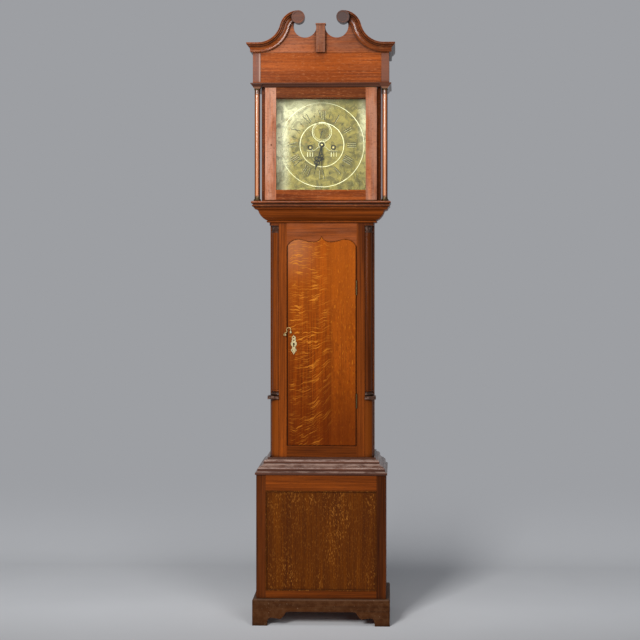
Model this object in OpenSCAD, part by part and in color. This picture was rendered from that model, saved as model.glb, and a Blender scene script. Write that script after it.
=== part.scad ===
/* [Case widths and depths] */
// Width of the trunk across its side boards
trunk_w = 345; // [335:5:355]
// Depth of the trunk from the wall to its front face
trunk_d = 175; // [172:1:182]
// How far the base box stands out from the trunk, in front and at each side
base_out = 40.5; // [36.5:0.5:47.5]
// How far the trunk's flat front stops short of its corners, where the quarter columns stand
corner_in = 30; // [28:0.5:32]
// Room between the hood's sides and the trunk's, in which the hood slides
hood_slack = 11.5; // [9.5:0.5:13.5]
// How far the frieze stands out from the hood's sides
frieze_out = 27; // [24:0.5:30]
// How far the plinth stands out from the base box
plinth_out = 12; // [9:1:14]
// Thickness of the side and roof boards
board_t = 12; // [9:1:14]
// Thickness of the backboard
back_t = 10; // [8:1:11]
// Thickness of the front frames
frame_t = 20; // [17:1:22]

/* [Case heights] */
// Height of the plinth
plinth_h = 87; // [84:1:100]
// Height of the open space under the plinth's apron
apron_z = 46; // [42:1:54]
// Height of the base box above the plinth
base_h = 405; // [395:2:410]
// Height of the moulding that joins base and trunk
base_mould_h = 52; // [50:1:56]
// Height of the trunk between its two mouldings
trunk_h = 776; // [766:1:780]
// Height of the throat moulding under the hood
throat_h = 48; // [46:1:52]
// Thickness of the frame under the hood
hood_base_h = 23; // [21:1:25]
// Height of the hood door
hood_door_h = 368.5; // [364:0.5:372]
// Thickness of the moulding under the frieze
frieze_mould_h = 12.6; // [11:0.2:14]
// Height of the frieze
frieze_h = 99; // [94:1:104]

/* [Doors] */
// How far the hood door stops short of the hood's sides
hood_door_in = 13; // [10:0.5:14]
// Width of the hood door's stiles
hood_stile = 36; // [32:0.5:37]
// Height of the hood door's rails
hood_rail = 33.5; // [31:0.5:36]
// Thickness of the glass
glass_t = 3; // [2:0.5:4]
// Width of the trunk frame's stiles beside the door
stile_w = 28; // [24.5:0.5:29.5]
// Height of the trunk door up to the spring of its shaped top
door_h = 658; // [640:1:660]
// Rise of the trunk door's shaped top
door_rise = 32; // [28:1:34]
// Thickness of the trunk door
door_t = 18; // [16:1:19]
// Gap all round the trunk door
door_gap = 1.2; // [1:0.1:1.6]
// Height of the trunk frame's bottom rail
trunk_rail = 38; // [34:1:44]

/* [Columns] */
// Radius of the trunk's quarter columns
quarter_r = 25.5; // [23:0.5:26]
// Radius of the hood's free columns
column_r = 9; // [7.5:0.5:9.5]
// Height of the pedestals under the quarter columns
pedestal_h = 192; // [170:1:200]

/* [Pediment] */
// Height of the swan necks' top above the frieze
neck_rise = 135; // [131:1:138]
// Radius of the turned roundels
roundel_r = 21.5; // [21:0.5:24]
// Width of the swan-neck moulding
neck_w = 31; // [28:1:32]
// How far the swan necks stand out
neck_out = 20; // [17:1:22]

/* [Dial and hands] */
// Side of the square dial plate
dial_w = 305; // [300:1:308]
// Thickness of the dial plate
dial_t = 2; // [1.5:0.1:2.5]
// Height of the dial's centre above the bottom of the hood door
dial_up = 185; // [182:1:186]
// Length of the minute hand
minute_len = 124; // [110:2:126]
// Length of the hour hand
hour_len = 88; // [80:2:92]
// Radius of the winding holes
wind_r = 6; // [5.5:0.1:6.5]

/* [Movement] */
// Thickness of the brass plates
plate_t = 3; // [2.5:0.1:3.5]
// Distance between the plates
plate_gap = 60; // [59:0.5:62]
// Width of the plates
plate_w = 156; // [150:2:160]
// Thickness of the brass wheels
wheel_t = 2; // [1.6:0.1:2.4]
// Radius of the train arbors
arbor_r = 1.8; // [1.6:0.1:2]
// Radial running clearance of arbors and pins
run_fit = 0.05; // [0.03:0.01:0.08]
// Radius of the line drums
drum_r = 22; // [20:0.5:22.5]
// Length of the line drums
drum_l = 38; // [34:1:39]
// Radius of the gut lines
gut_r = 0.7; // [0.5:0.1:0.9]

/* [Pendulum and weights] */
// Distance from the suspension to the middle of the bob
pendulum_len = 994; // [980:2:1000]
// Radius of the pendulum bob
bob_r = 55; // [48:1:60]
// Radius of the two weights
weight_r = 29; // [26:0.5:30]
// Height of the two weights
weight_h = 210; // [180:5:220]
// Radius at which the line runs round a weight's pulley
pulley_r = 22; // [20:0.5:23]

/* [Hidden] */
$fn = 48;
// Widths that follow the trunk
base_w = trunk_w + 2 * base_out;
hood_w = trunk_w + 2 * (board_t + hood_slack);
frieze_w = hood_w + 2 * frieze_out;
hood_door_w = hood_w - 2 * hood_door_in;
corner_x = trunk_w / 2 - corner_in;
door_w = 2 * (corner_x - stile_w);
// Heights of the joints between the stages, counted from the floor
base_top = plinth_h + base_h;
trunk_z0 = base_top + base_mould_h;
trunk_z1 = trunk_z0 + trunk_h;
hood_z0 = trunk_z1 + throat_h;
door_gap_z = 2.4;
deck_z = hood_z0 + hood_base_h;
hood_door_z0 = deck_z + door_gap_z;
hood_door_z1 = hood_door_z0 + hood_door_h;
cap_z0 = hood_door_z1 + door_gap_z;
frieze_z0 = cap_z0 + frieze_mould_h;
frieze_z1 = frieze_z0 + frieze_h;
// Depths from the wall: every stage stands out in front as far as it does at the sides
base_d = trunk_d + base_out;
frieze_d = trunk_d + (frieze_w - trunk_w) / 2;
cornice_w = frieze_w + 2 * neck_out;
roundel_out = neck_out + 2;
wall_y = (frieze_d + roundel_out) / 2;
// Glue line between boards that are joined edge to edge
glue = 0.1;
// Trunk front
corner_d = trunk_d - corner_in;
door_z0 = trunk_z0 + trunk_rail + door_gap;
door_spring = door_z0 + door_h;
door_front = trunk_d;
pedestal_r = quarter_r + 3;
// Hood front
hood_side_d = frieze_d - 24;
hood_door_d = hood_side_d + 21;
column_x = frieze_w / 2 - 13.5;
column_d = frieze_d - 12.5;
sight_w = hood_door_w - 2 * hood_stile;
dial_z = hood_door_z0 + dial_up;
frame_in_w = trunk_w + 11;
// Movement: depths of the plates and planes, counted from the wall
plate_back = 54;
plate_front = plate_back + plate_t + plate_gap;
dial_back = plate_front + plate_t + 38;
dial_face = dial_back + dial_t;
plate_down = 54;
plate_up = 102;
plate_z0 = dial_z - plate_down;
plate_z1 = dial_z + plate_up;
seat_t = 20;
seat_z0 = plate_z0 - seat_t;
cheek_top = seat_z0;
// Tooth forms: addendum, dedendum, half width at root and at tip as shares of the pitch
wheel_form = [0.85, 1.35, 0.25, 0.07];
leaf_form = [0.55, 1.45, 0.20, 0.10];
// Tooth counts and sizes of the teeth
great_n = 96;
strike_n = 84;
centre_n = 60;
third_n = 56;
pin_n = 64;
hoop_n = 56;
warn_n = 48;
leaf8 = 8;
leaf7 = 7;
great_m = 0.754;
strike_m = 0.76;
centre_m = 0.76;
third_m = 0.66;
pin_m = 0.66;
hoop_m = 0.60;
warn_m = 0.55;
cannon_n = 36;
cannon_m = 0.65;
hour_n = 72;
hour_leaf = 6;
hour_m = 0.60;
escape_n = 30;
escape_r = 16.5;
// Directions from each arbor to the next, in degrees, seen from the front
great_dist = great_m * (great_n + leaf8) / 2;
great_up = 12.5;
going_at = [great_dist * cos(great_up), -great_dist * sin(great_up)];
strike_at = [-going_at[0], going_at[1]];
third_dir = 69.8;
third_at = polar([0, 0], centre_m * (centre_n + leaf8) / 2, third_dir);
escape_dir = 115.5;
escape_at = polar(third_at, third_m * (third_n + leaf7) / 2, escape_dir);
pallet_at = [escape_at[0], escape_at[1] + escape_r * 1.41];
pin_dir = 100;
pin_at = polar(strike_at, strike_m * (strike_n + leaf8) / 2, pin_dir);
hoop_dir = 70;
hoop_at = polar(pin_at, pin_m * (pin_n + leaf8) / 2, hoop_dir);
warn_dir = 100;
warn_at = polar(hoop_at, hoop_m * (hoop_n + leaf7) / 2, warn_dir);
fly_dir = 45;
fly_at = polar(warn_at, warn_m * (warn_n + leaf7) / 2, fly_dir);
minute_at = [0, -cannon_m * cannon_n];
hammer_at = [-68, 30];
// Planes of the wheels, counted from the wall
great_q = plate_front - 9;
drum_q = great_q - 2 - drum_l;
centre_q = plate_back + plate_t + 3.5;
third_q = plate_back + 42;
escape_q = plate_back + 30;
warn_q = plate_back + 18;
cannon_q = plate_front + plate_t + 2;
hour_q = cannon_q + 4;
hour_hand_q = dial_face + 4;
minute_hand_q = hour_hand_q + 3;
// Lines, weights and pendulum
line_q = drum_q + drum_l / 2;
line_r = drum_r + gut_r + 0.3;
rest_z = 415;
weight_gap = 45;
pendulum_q = 32;
pivot_z = dial_z + pallet_at[1];
bob_z = pivot_z - pendulum_len;

function polar(from, dist, dir) = [from[0] + dist * cos(dir), from[1] + dist * sin(dir)];
function arc(cx, cz, r, a0, a1, n = 6) =
    [for (i = [0:n]) [cx + r * cos(a0 + (a1 - a0) * i / n), cz + r * sin(a0 + (a1 - a0) * i / n)]];
// Outline of a strip of half width h that runs along the points p
function strip(p, h) = let (n = len(p) - 1)
    let (side = [for (i = [0:n]) let (d = p[min(i + 1, n)] - p[max(i - 1, 0)]) [d[1], -d[0]] * h / norm(d)])
    concat([for (i = [0:n]) p[i] + side[i]], [for (i = [n:-1:0]) p[i] - side[i]]);
// Phase of a gear that meshes with a gear of n1 teeth and phase p1, lying in direction dir from it
function mesh_phase(dir, n1, n2, p1) = dir + 180 + 180 / n2 - (p1 - dir) * n1 / n2;

// Moves a piece from the wall line to the middle of the clock's depth
module stand() translate([0, wall_y, 0]) children();
// Board between two points on each axis, with depth counted forward from the wall
module board(x, q, z)
    translate([x[0], -q[1], z[0]]) cube([x[1] - x[0], q[1] - q[0], z[1] - z[0]]);
module both_sides() {
    children();
    mirror([1, 0, 0]) children();
}
// Upright outline extruded forward from depth q0 to q1
module cutout(q0, q1) translate([0, -q0, 0]) rotate([90, 0, 0]) linear_extrude(q1 - q0) children();
// Piece turned about an axis that points at the viewer, placed on the dial's own plane
module on_arbor(at, q) translate([at[0], -q, dial_z + at[1]]) rotate([90, 0, 0]) children();

// Moulding planted round the front and both sides of a box, mitred at the corners
module planted(w, d, profile, q0 = 0) {
    reach = 80;
    in = 25;
    front = [for (p = profile) [-d - p[0], p[1]]];
    side = [for (p = profile) [w / 2 + p[0], p[1]]];
    intersection() {
        translate([-w, 0, 0]) rotate([90, 0, 90]) linear_extrude(2 * w) polygon(front);
        linear_extrude(3000) polygon([[-w / 2 + in, -d + in], [w / 2 - in, -d + in],
            [w / 2 + reach, -d - reach], [-w / 2 - reach, -d - reach]]);
    }
    mitre = 1.5 * glue;
    both_sides() intersection() {
        rotate([90, 0, 0]) linear_extrude(d + reach) polygon(side);
        linear_extrude(3000) polygon([[w / 2 - in, -d + in + mitre], [w / 2 + reach, -d - reach + mitre],
            [w / 2 + reach, -q0], [w / 2 - in, -q0]]);
    }
}

// Outline of a toothed wheel or pinion
module teeth(n, m, form, phase) {
    rp = m * n / 2;
    p = 360 / n;
    polygon([for (i = [0:n - 1], k = [[-1, 0], [-1, 1], [1, 1], [1, 0]])
        let (r = k[1] == 0 ? rp - form[1] * m : rp + form[0] * m)
        let (a = phase + i * p + k[0] * p * (k[1] == 0 ? form[2] : form[3]))
        [r * cos(a), r * sin(a)]]);
}
// Crossed-out brass wheel with a hub, lying in its own plane
module clock_wheel(n, m, phase, t, bore, spokes = 4) {
    rim = m * n / 2 - 1.35 * m - 3;
    hub = max(4.5, bore + 2.5);
    difference() {
        linear_extrude(t) teeth(n, m, wheel_form, phase);
        difference() {
            translate([0, 0, -1]) cylinder(r = rim, h = t + 2);
            translate([0, 0, -2]) cylinder(r = hub, h = t + 4);
            for (i = [0:spokes - 1]) rotate(i * 360 / spokes + 45)
                translate([0, -1.6, -2]) cube([rim + 1, 3.2, t + 4]);
        }
        if (bore > 0) translate([0, 0, -1]) cylinder(r = bore, h = t + 2);
    }
}
module pinion(n, m, phase, len) linear_extrude(len) teeth(n, m, leaf_form, phase);
// Steel arbor between the plates, thinned to a pivot in each plate
module arbor(q0, q1, r = arbor_r) {
    translate([0, 0, q0]) cylinder(r = r, h = q1 - q0);
    for (z = [q0 - plate_t, q1 - 0.01]) translate([0, 0, z]) cylinder(r = 0.8, h = plate_t + 0.01);
}

module backboard() stand() color("saddlebrown") {
    board([-trunk_w / 2, trunk_w / 2], [0, back_t], [apron_z, cap_z0 - 6]);
    // Boards that widen the back behind the base and the hood
    both_sides() {
        board([trunk_w / 2 + glue, base_w / 2 - board_t], [0, back_t], [apron_z, base_top]);
        board([trunk_w / 2 + glue, hood_w / 2 - board_t - 1], [0, back_t], [deck_z + 1, cap_z0 - 6]);
    }
}

module trunk_sides() stand() color("saddlebrown") both_sides() {
    board([trunk_w / 2 - board_t, trunk_w / 2], [back_t, corner_d], [base_top - 70, cheek_top]);
    // Bearers under the seatboard
    board([trunk_w / 2 - board_t - 14, trunk_w / 2 - board_t - glue], [back_t + 10, corner_d - 10],
        [seat_z0 - 40, seat_z0]);
}

// Shaped head of the trunk door: a round shoulder at each side, a hollow, and a point in the middle
function door_head(half, rise) =
    let (sx = 0.672 * half, sz = 0.73 * rise, vx = 0.23 * half, b = 20)
    let (r1 = (pow(half - sx, 2) + sz * sz) / (2 * sz), a1 = atan2(r1 - sz, half - sx))
    let (r2 = (sx - r1 * sin(b) - vx) / sin(b), vz = sz - (r1 + r2) * (1 - cos(b)))
    let (r3 = (vx * vx + pow(rise - vz, 2)) / (2 * (rise - vz)), a3 = atan2(rise - vz - r3, -vx))
    let (right = concat(arc(sx, sz - r1, r1, a1, 90 + b, 7), arc(vx, vz + r2, r2, b - 90, -90, 4),
        arc(vx, vz + r3, r3, -90, a3, 5)))
    concat([[-half, -1], [half, -1]], right,
        [for (i = [len(right) - 2:-1:0]) [-right[i][0], right[i][1]]]);

module trunk_frame() stand() color("sienna") {
    half = door_w / 2 + door_gap;
    q = [trunk_d - frame_t, trunk_d];
    difference() {
        union() {
            both_sides() board([half, corner_x], q, [base_top, hood_z0]);
            board([-half + glue, half - glue], q, [base_top, door_z0 - door_gap]);
            board([-half + glue, half - glue], q, [door_spring - 1, hood_z0]);
        }
        cutout(q[0] - 1, q[1] + 1) {
            translate([-half, door_spring - 5]) square([2 * half, 5]);
            translate([0, door_spring]) polygon(door_head(half, door_rise + door_gap));
        }
        hinge_seats();
    }
}

// One quarter of a turned shape, standing in the corner of the trunk
module quarter(r, z0, z1) {
    translate([corner_x, -corner_d, z0]) rotate(-90) rotate_extrude(angle = 90) square([r, z1 - z0]);
}
module quarter_columns() stand() color("sienna") both_sides() {
    base_z = trunk_z0 + pedestal_h;
    tile = 10;
    cap = 10;
    quarter(pedestal_r, base_top, base_z);
    board([corner_x, corner_x + quarter_r + 11], [corner_d, corner_d + quarter_r + 11],
        [base_z, base_z + tile]);
    translate([corner_x, -corner_d, 0]) rotate(-90) rotate_extrude(angle = 90)
        polygon(concat([[0, base_z + tile]],
            arc(quarter_r - 2, base_z + tile + 5, 5, -90, 90),
            [[quarter_r - 1, base_z + tile + 14]],
            arc(quarter_r - 0.5, base_z + tile + 17, 3, -90, 90, 4),
            [[quarter_r, base_z + tile + 20.5], [quarter_r, trunk_z1 - cap - 22]],
            arc(quarter_r, trunk_z1 - cap - 20, 2, -90, 90, 4),
            [[quarter_r - 1, trunk_z1 - cap - 17], [quarter_r, trunk_z1 - cap - 2],
            [quarter_r + 2, trunk_z1 - cap], [0, trunk_z1 - cap]]));
    // Block above the cap, behind the throat moulding
    board([corner_x, trunk_w / 2], [corner_d, trunk_d], [trunk_z1 - cap, hood_z0]);
}

module throat_moulding() stand() color("sienna") {
    top = (frieze_w - trunk_w) / 2 - 5;
    planted(trunk_w, trunk_d, [for (p = concat(
        [[0, throat_h], [0, 0], [3.5, 0]],
        arc(6, 3.8, 3.4, -80, 80, 6),
        [[6.5, 7.6], [10.5, 8.4]],
        arc(-14.3, 52.4, 50.5, -60.6, -18.9, 8),
        [[top - 12, 37.5], [top - 11, 38.5], [top - 9.5, 40.5], [top - 6, 42.3], [top - 3, 43],
        [top - 1, 43.8], [top, 45.5], [top, throat_h]])) [p[0], trunk_z1 + p[1]]]);
}

module seatboard() stand() color("burlywood") {
    difference() {
        board([-trunk_w / 2, trunk_w / 2], [back_t + 30, corner_d - 2], [seat_z0, seat_z0 + seat_t]);
        for (x = line_xs()) translate([x, -line_q, seat_z0 - 1]) cylinder(r = 4, h = seat_t + 2);
    }
    // Runners that keep the hood from tipping as it slides
    both_sides() board([trunk_w / 2, trunk_w / 2 + 7], [back_t + 14, corner_d - 10],
        [deck_z + 1.5, deck_z + 21.5]);
}

module base_carcase() stand() color("saddlebrown") {
    floor_z = apron_z + 6;
    side = base_w / 2 - board_t;
    both_sides() {
        board([side, base_w / 2], [0, base_d - frame_t], [apron_z, base_top]);
        // Blocks behind the bracket feet
        for (q = [[0, 34], [base_d - 34, base_d]])
            board([base_w / 2 - 34, base_w / 2], q, [0, apron_z - glue]);
    }
    board([-side + glue, side - glue], [back_t, base_d - frame_t], [floor_z, floor_z + board_t]);
}

// Opening of the base frame, which the panel fills
base_in = base_w / 2 - 31;
panel_z = [plinth_h + 25, base_top - 52];
module base_frame() stand() color("maroon") {
    q = [base_d - frame_t, base_d];
    both_sides() board([base_in, base_w / 2], q, [apron_z, base_top]);
    board([-base_in + glue, base_in - glue], q, [apron_z, panel_z[0]]);
    board([-base_in + glue, base_in - glue], q, [panel_z[1], base_top]);
}

module base_panel() stand() color("saddlebrown") {
    front = base_d - 3;
    board([-base_in, base_in], [base_d - frame_t + 4, front], panel_z);
    // Bead that frames the panel
    bead = 3;
    for (z = [panel_z[0], panel_z[1] - bead])
        board([-base_in + bead + glue, base_in - bead - glue], [front + glue, front + 4], [z, z + bead]);
    both_sides() board([base_in - bead, base_in], [front + glue, front + 4], panel_z);
}

module base_moulding() stand() color("sienna") {
    side = base_out;
    h = base_mould_h;
    planted(trunk_w, trunk_d, [for (p = concat(
        [[0, h], [0, 0], [side + 4, 0], [side + 4, 6.5], [side + 1.5, 7.5], [side - 1, 8.5],
        [side - 2.7, 11], [side - 3.2, 14]],
        arc(side - 10, 16, 7, -10, 80, 6),
        [[side - 9.5, 24], [side - 9.5, 25.5]],
        arc(side - 10, 39, 13, -90, -150, 5),
        [[side - 22, 33.5]],
        arc(side - 31, 36, 9.5, -10, 85, 6),
        [[8.5, h - 5.5], [6, h - 5], [6, h]])) [p[0], base_top + p[1]]]);
}

// Outline cut out between two bracket feet of a run of length l: two cusped scallops, then the arch
module apron_cut(l, foot, s) {
    a = l / 2 - foot;
    step = apron_z - 19.5;
    right = concat([[a, -1], [a, step - 16]],
        arc(a - 15 * s, step - 15 * s, 15 * s, 0, 110, 6),
        [[a - 34 * s, step - 3], [a - 43 * s, step - 4], [a - 51 * s, step + 2],
        [a - 57 * s, step + 10], [a - 61 * s, step + 17], [a - 67 * s, apron_z]]);
    polygon(concat(right, [for (i = [len(right) - 1:-1:0]) [-right[i][0], right[i][1]]]));
}
module plinth() stand() color("maroon") difference() {
    planted(base_w, base_d, concat([[0, plinth_h], [0, 0], [plinth_out, 0], [plinth_out, plinth_h - 5]],
        arc(plinth_out - 4, plinth_h - 4, 3.4, 0, 90, 3)));
    foot = 49;
    w = base_w + 2 * plinth_out;
    cutout(base_d - 1, base_d + plinth_out + 1) apron_cut(w, foot, 1);
    d = base_d + plinth_out;
    rotate([90, 0, 90]) translate([-d / 2, 0, -w / 2 - 1]) linear_extrude(plinth_out + 1)
        apron_cut(d, foot, 0.7);
    rotate([90, 0, 90]) translate([-d / 2, 0, w / 2 - plinth_out]) linear_extrude(plinth_out + 1)
        apron_cut(d, foot, 0.7);
}

// Hinge line of the trunk door, on its right edge just proud of the face
hinge_x = door_w / 2 + door_gap / 2;
hinge_q = trunk_d + 1.2;
hinge_low = 123;
hinge_high = 498;
hinge_zs = [door_z0 + hinge_low, door_z0 + hinge_high];
hinge_h = 48;
knuckle_r = 2.6;
hinge_pin_r = 1.2;
leaf_t = 1;
leaf_w = 15;
// Strip between the gap round the door and the depth of a leaf, on the frame's side or the door's
function leaf_x(side) = side > 0 ? [hinge_x + door_gap / 2, hinge_x + door_gap / 2 + leaf_t]
    : [hinge_x - door_gap / 2 - leaf_t, hinge_x - door_gap / 2];
// Seats cut in the edge for the leaves, and room for the knuckles
module hinge_seats() for (z = hinge_zs) {
    translate([hinge_x, -hinge_q, z]) cylinder(r = knuckle_r + 0.4, h = hinge_h);
    board([leaf_x(-1)[0], leaf_x(1)[1]], [trunk_d - leaf_w, trunk_d + 1], [z, z + hinge_h]);
}
// One leaf of each hinge, let into the edge, with every second knuckle
module hinge_leaves(first, side) for (z = hinge_zs) difference() {
    union() {
        for (k = [first:2:4]) translate([hinge_x, -hinge_q, z + k * hinge_h / 5 + 0.2])
            cylinder(r = knuckle_r, h = hinge_h / 5 - 0.4);
        board(leaf_x(side), [trunk_d - leaf_w, hinge_q], [z + 0.2, z + hinge_h - 0.2]);
    }
    for (k = [1 - first:2:4]) translate([hinge_x, -hinge_q, z + k * hinge_h / 5])
        cylinder(r = knuckle_r + 0.4, h = hinge_h / 5);
    translate([hinge_x, -hinge_q, z - 1]) cylinder(r = hinge_pin_r + run_fit, h = hinge_h + 2);
}
module case_brassware() stand() color("goldenrod") {
    hinge_leaves(0, 1);
    for (z = hinge_zs) translate([hinge_x, -hinge_q, z + 0.2]) cylinder(r = hinge_pin_r, h = hinge_h - 0.4);
    // Ball-headed peg that the door's hook catches
    translate([catch_x, -trunk_d, catch_z]) rotate([90, 0, 0]) {
        cylinder(r = 2.2, h = 6);
        translate([0, 0, 8]) sphere(r = peg_r);
    }
}

// Depth of the door's full outline, and how far the back of its top is eased behind that
door_lip = 8;
door_ease = 4;
module trunk_door() stand() color("peru") {
    difference() {
        cutout(trunk_d - door_t, door_front) union() {
            translate([-door_w / 2, door_z0]) square([door_w, door_h]);
            translate([0, door_spring]) polygon(door_head(door_w / 2, door_rise));
        }
        // Keyhole
        cutout(trunk_d - door_t - 1, door_front + 1) translate([lock_x, lock_z]) {
            circle(r = 2.6);
            translate([-1.3, -8]) square([2.6, 8]);
        }
        // Back of the shaped top, eased so that it clears the frame as the door swings
        cutout(trunk_d - door_t - 1, trunk_d - door_lip) difference() {
            translate([-door_w / 2 - 1, door_spring - door_ease])
                square([door_w + 2, door_rise + 2 * door_ease]);
            translate([0, door_spring - door_ease]) polygon(door_head(door_w / 2, door_rise));
        }
        hinge_seats();
    }
}

module door_brassware() stand() color("goldenrod") {
    hinge_leaves(1, -1);
    // Screw that the hook turns on
    translate([hook_x, -door_front, hook_z]) rotate([90, 0, 0]) {
        cylinder(r = hook_pin_r, h = 3.2);
        translate([0, 0, 2.8]) cylinder(r = 3, h = 1.2);
    }
}

lock_x = -door_w / 2 + 22;
lock_up = 335.5;
lock_z = door_z0 + lock_up;
module escutcheon() stand() color("goldenrod") cutout(door_front, door_front + 1.2)
    translate([lock_x, lock_z]) difference() {
        union() {
            circle(r = 10);
            translate([0, 11]) circle(r = 7);
            translate([0, 20]) circle(r = 6.5);
            polygon([[-3, 24], [3, 24], [0, 30]]);
            translate([0, -12]) circle(r = 5.5);
            for (s = [-1, 1]) translate([s * 4.2, -20.5]) circle(r = 5);
            translate([0, -27]) circle(r = 4.5);
            polygon([[-2.5, -30], [0, -35.5], [2.5, -30]]);
        }
        circle(r = 3.2);
        translate([-1.6, -10]) square([3.2, 10]);
        for (y = [12, 21.5]) translate([0, y]) circle(r = 2.3);
        for (s = [-1, 1]) translate([s * 4.6, -20.5]) circle(r = 1.6);
        translate([0, -27.5]) circle(r = 1.5);
    }

module door_lock() stand() color("dimgray") difference() {
    board([-door_w / 2 + 4, lock_x + 22], [trunk_d - door_t - 12, trunk_d - door_t],
        [lock_z - 28, lock_z + 24]);
    translate([lock_x, -trunk_d + door_t - 1, lock_z]) rotate([-90, 0, 0]) cylinder(r = 3, h = 20);
}

// Wire hook on the door and the peg that it drops behind
catch_x = -door_w / 2 - 5.2;
catch_z = lock_z + 30;
peg_r = 4.2;
hook_wire = 1.1;
hook_pin_r = 1.5;
hook_x = catch_x + 17;
hook_z = catch_z + 8.8;
hook_bend = 6.7;
hook_fit = 0.5;
module door_hook() stand() color("goldenrod") cutout(door_front + 0.3, door_front + 2.5) difference() {
    round_peg = peg_r + hook_fit + hook_wire;
    top = hook_z + 8.5;
    path = concat([[hook_x, hook_z], [hook_x, top - 1]],
        arc(hook_x - hook_bend, top, hook_bend, 0, 180, 10),
        [for (p = [[4.4, 13], [4, 10], [2.2, 7.2]]) [catch_x + p[0], catch_z + p[1]]],
        arc(catch_x, catch_z, round_peg, 100, 205, 6));
    union() {
        translate([hook_x, hook_z]) circle(r = 3.6);
        polygon(strip(path, hook_wire));
    }
    translate([hook_x, hook_z]) circle(r = hook_pin_r + run_fit);
}

module hood_carcase() stand() color("sienna") {
    both_sides() {
        board([hood_w / 2 - board_t, hood_w / 2], [0.5, hood_side_d], [deck_z, cap_z0]);
        board([frieze_w / 2 - board_t, frieze_w / 2], [0.5, frieze_d - frame_t],
            [frieze_z0, neck_level - 3]);
    }
    side = frieze_w / 2 - board_t - glue;
    board([-side, side], [0.5, frieze_d - frame_t], [frieze_z1 - board_t, frieze_z1]);
}

sunk = 1.5;
module frieze() stand() color("chocolate") difference() {
    board([-frieze_w / 2, frieze_w / 2], [frieze_d - frame_t, frieze_d], [frieze_z0, frieze_z1]);
    // Panel sunk inside a narrow border
    board([-frieze_w / 2 + 25, frieze_w / 2 - 25], [frieze_d - sunk, frieze_d + 1],
        [frieze_z0 + 4, frieze_z1 + 1]);
    // Groove where the tympanum stands on it
    board([-frieze_w / 2 - 1, frieze_w / 2 + 1], [frieze_d - sunk, frieze_d + 1],
        [frieze_z1 - 2, frieze_z1 + 1]);
}

// Swan neck: a level start, a hollow bend and a round bend that ends over the roundel
neck_z = frieze_z1 + neck_rise;
roundel_x = 73;
neck_level = frieze_z1 + 31.5;
neck_start = frieze_w / 2 - 18;
neck_turn = 2 * atan((neck_z - neck_level) / (neck_start - roundel_x));
neck_sum = (neck_start - roundel_x) / sin(neck_turn);
hollow_r = neck_sum * 0.553;
round_r = neck_sum - hollow_r;
roundel_z = neck_z - roundel_r;
// Points a few millimetres below the neck's top edge, on the right, from the cornice to the roundel
function neck_edge(down, n = 10) = concat(
    [for (i = [0:n]) let (a = neck_turn * i / n)
        [neck_start - (hollow_r + down) * sin(a), neck_level + hollow_r - (hollow_r + down) * cos(a)]],
    [for (i = [1:n]) let (a = neck_turn * (1 - i / n))
        [roundel_x + (round_r - down) * sin(a), neck_z - round_r + (round_r - down) * cos(a)]]);
// Section of the moulding: share of the width down from the top edge, and how far it stands out
neck_section = [[0, 0], [0, 1], [0.07, 1], [0.09, 0.93], [0.15, 0.97], [0.22, 0.93], [0.27, 0.82],
    [0.31, 0.72], [0.36, 0.74], [0.41, 0.68], [0.45, 0.52], [0.60, 0.44], [0.78, 0.40], [0.93, 0.42],
    [0.94, 0.34], [1, 0.34], [1, 0]];
// Section bent round a centre, with its top edge at radius r and its foot further out or in
module bent_section(x, z, r, way, a0, a1) translate([x, -frieze_d, z]) rotate([90, 0, 0])
    rotate([0, 0, a0]) rotate_extrude(angle = a1 - a0)
        polygon([for (s = neck_section) [r + way * s[0] * neck_w, s[1] * neck_out]]);
module swan_neck() {
    bent_section(-neck_start, neck_level + hollow_r, hollow_r, 1, -90, -90 + neck_turn);
    bent_section(-roundel_x, neck_z - round_r, round_r, -1, 90, 90 + neck_turn);
    // Level start, mitred at the corner
    intersection() {
        translate([-cornice_w / 2 - 1, 0, 0]) rotate([90, 0, 90])
            linear_extrude(cornice_w / 2 + 1 - neck_start)
                polygon([for (s = neck_section) [-frieze_d - s[1] * neck_out, neck_level - s[0] * neck_w]]);
        linear_extrude(3000) polygon([[-frieze_w / 2, -frieze_d], [-frieze_w / 2 - 30, -frieze_d - 30],
            [-neck_start + 5, -frieze_d - 30], [-neck_start + 5, -frieze_d]]);
    }
}
module swan_necks() stand() color("sienna") both_sides() {
    difference() {
        swan_neck();
        translate([-roundel_x, -frieze_d + 1, roundel_z]) rotate([90, 0, 0])
            cylinder(r = roundel_r + glue, h = neck_out + 10);
    }
    // Turned roundel with a shallow dish
    translate([-roundel_x, -frieze_d, roundel_z]) rotate([90, 0, 0]) difference() {
        cylinder(r = roundel_r, h = roundel_out);
        translate([0, 0, roundel_out - 0.8]) cylinder(r1 = roundel_r - 5, r2 = roundel_r - 3, h = 2);
    }
    // Return of the cornice along the side
    intersection() {
        rotate([90, 0, 0]) linear_extrude(frieze_d + neck_out)
            polygon([for (s = neck_section) [-frieze_w / 2 - s[1] * neck_out, neck_level - s[0] * neck_w]]);
        linear_extrude(3000) polygon([[-frieze_w / 2, -frieze_d + 1.5 * glue],
            [-frieze_w / 2 - 30, -frieze_d - 30 + 1.5 * glue], [-frieze_w / 2 - 30, -0.5],
            [-frieze_w / 2, -0.5]]);
    }
}

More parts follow.
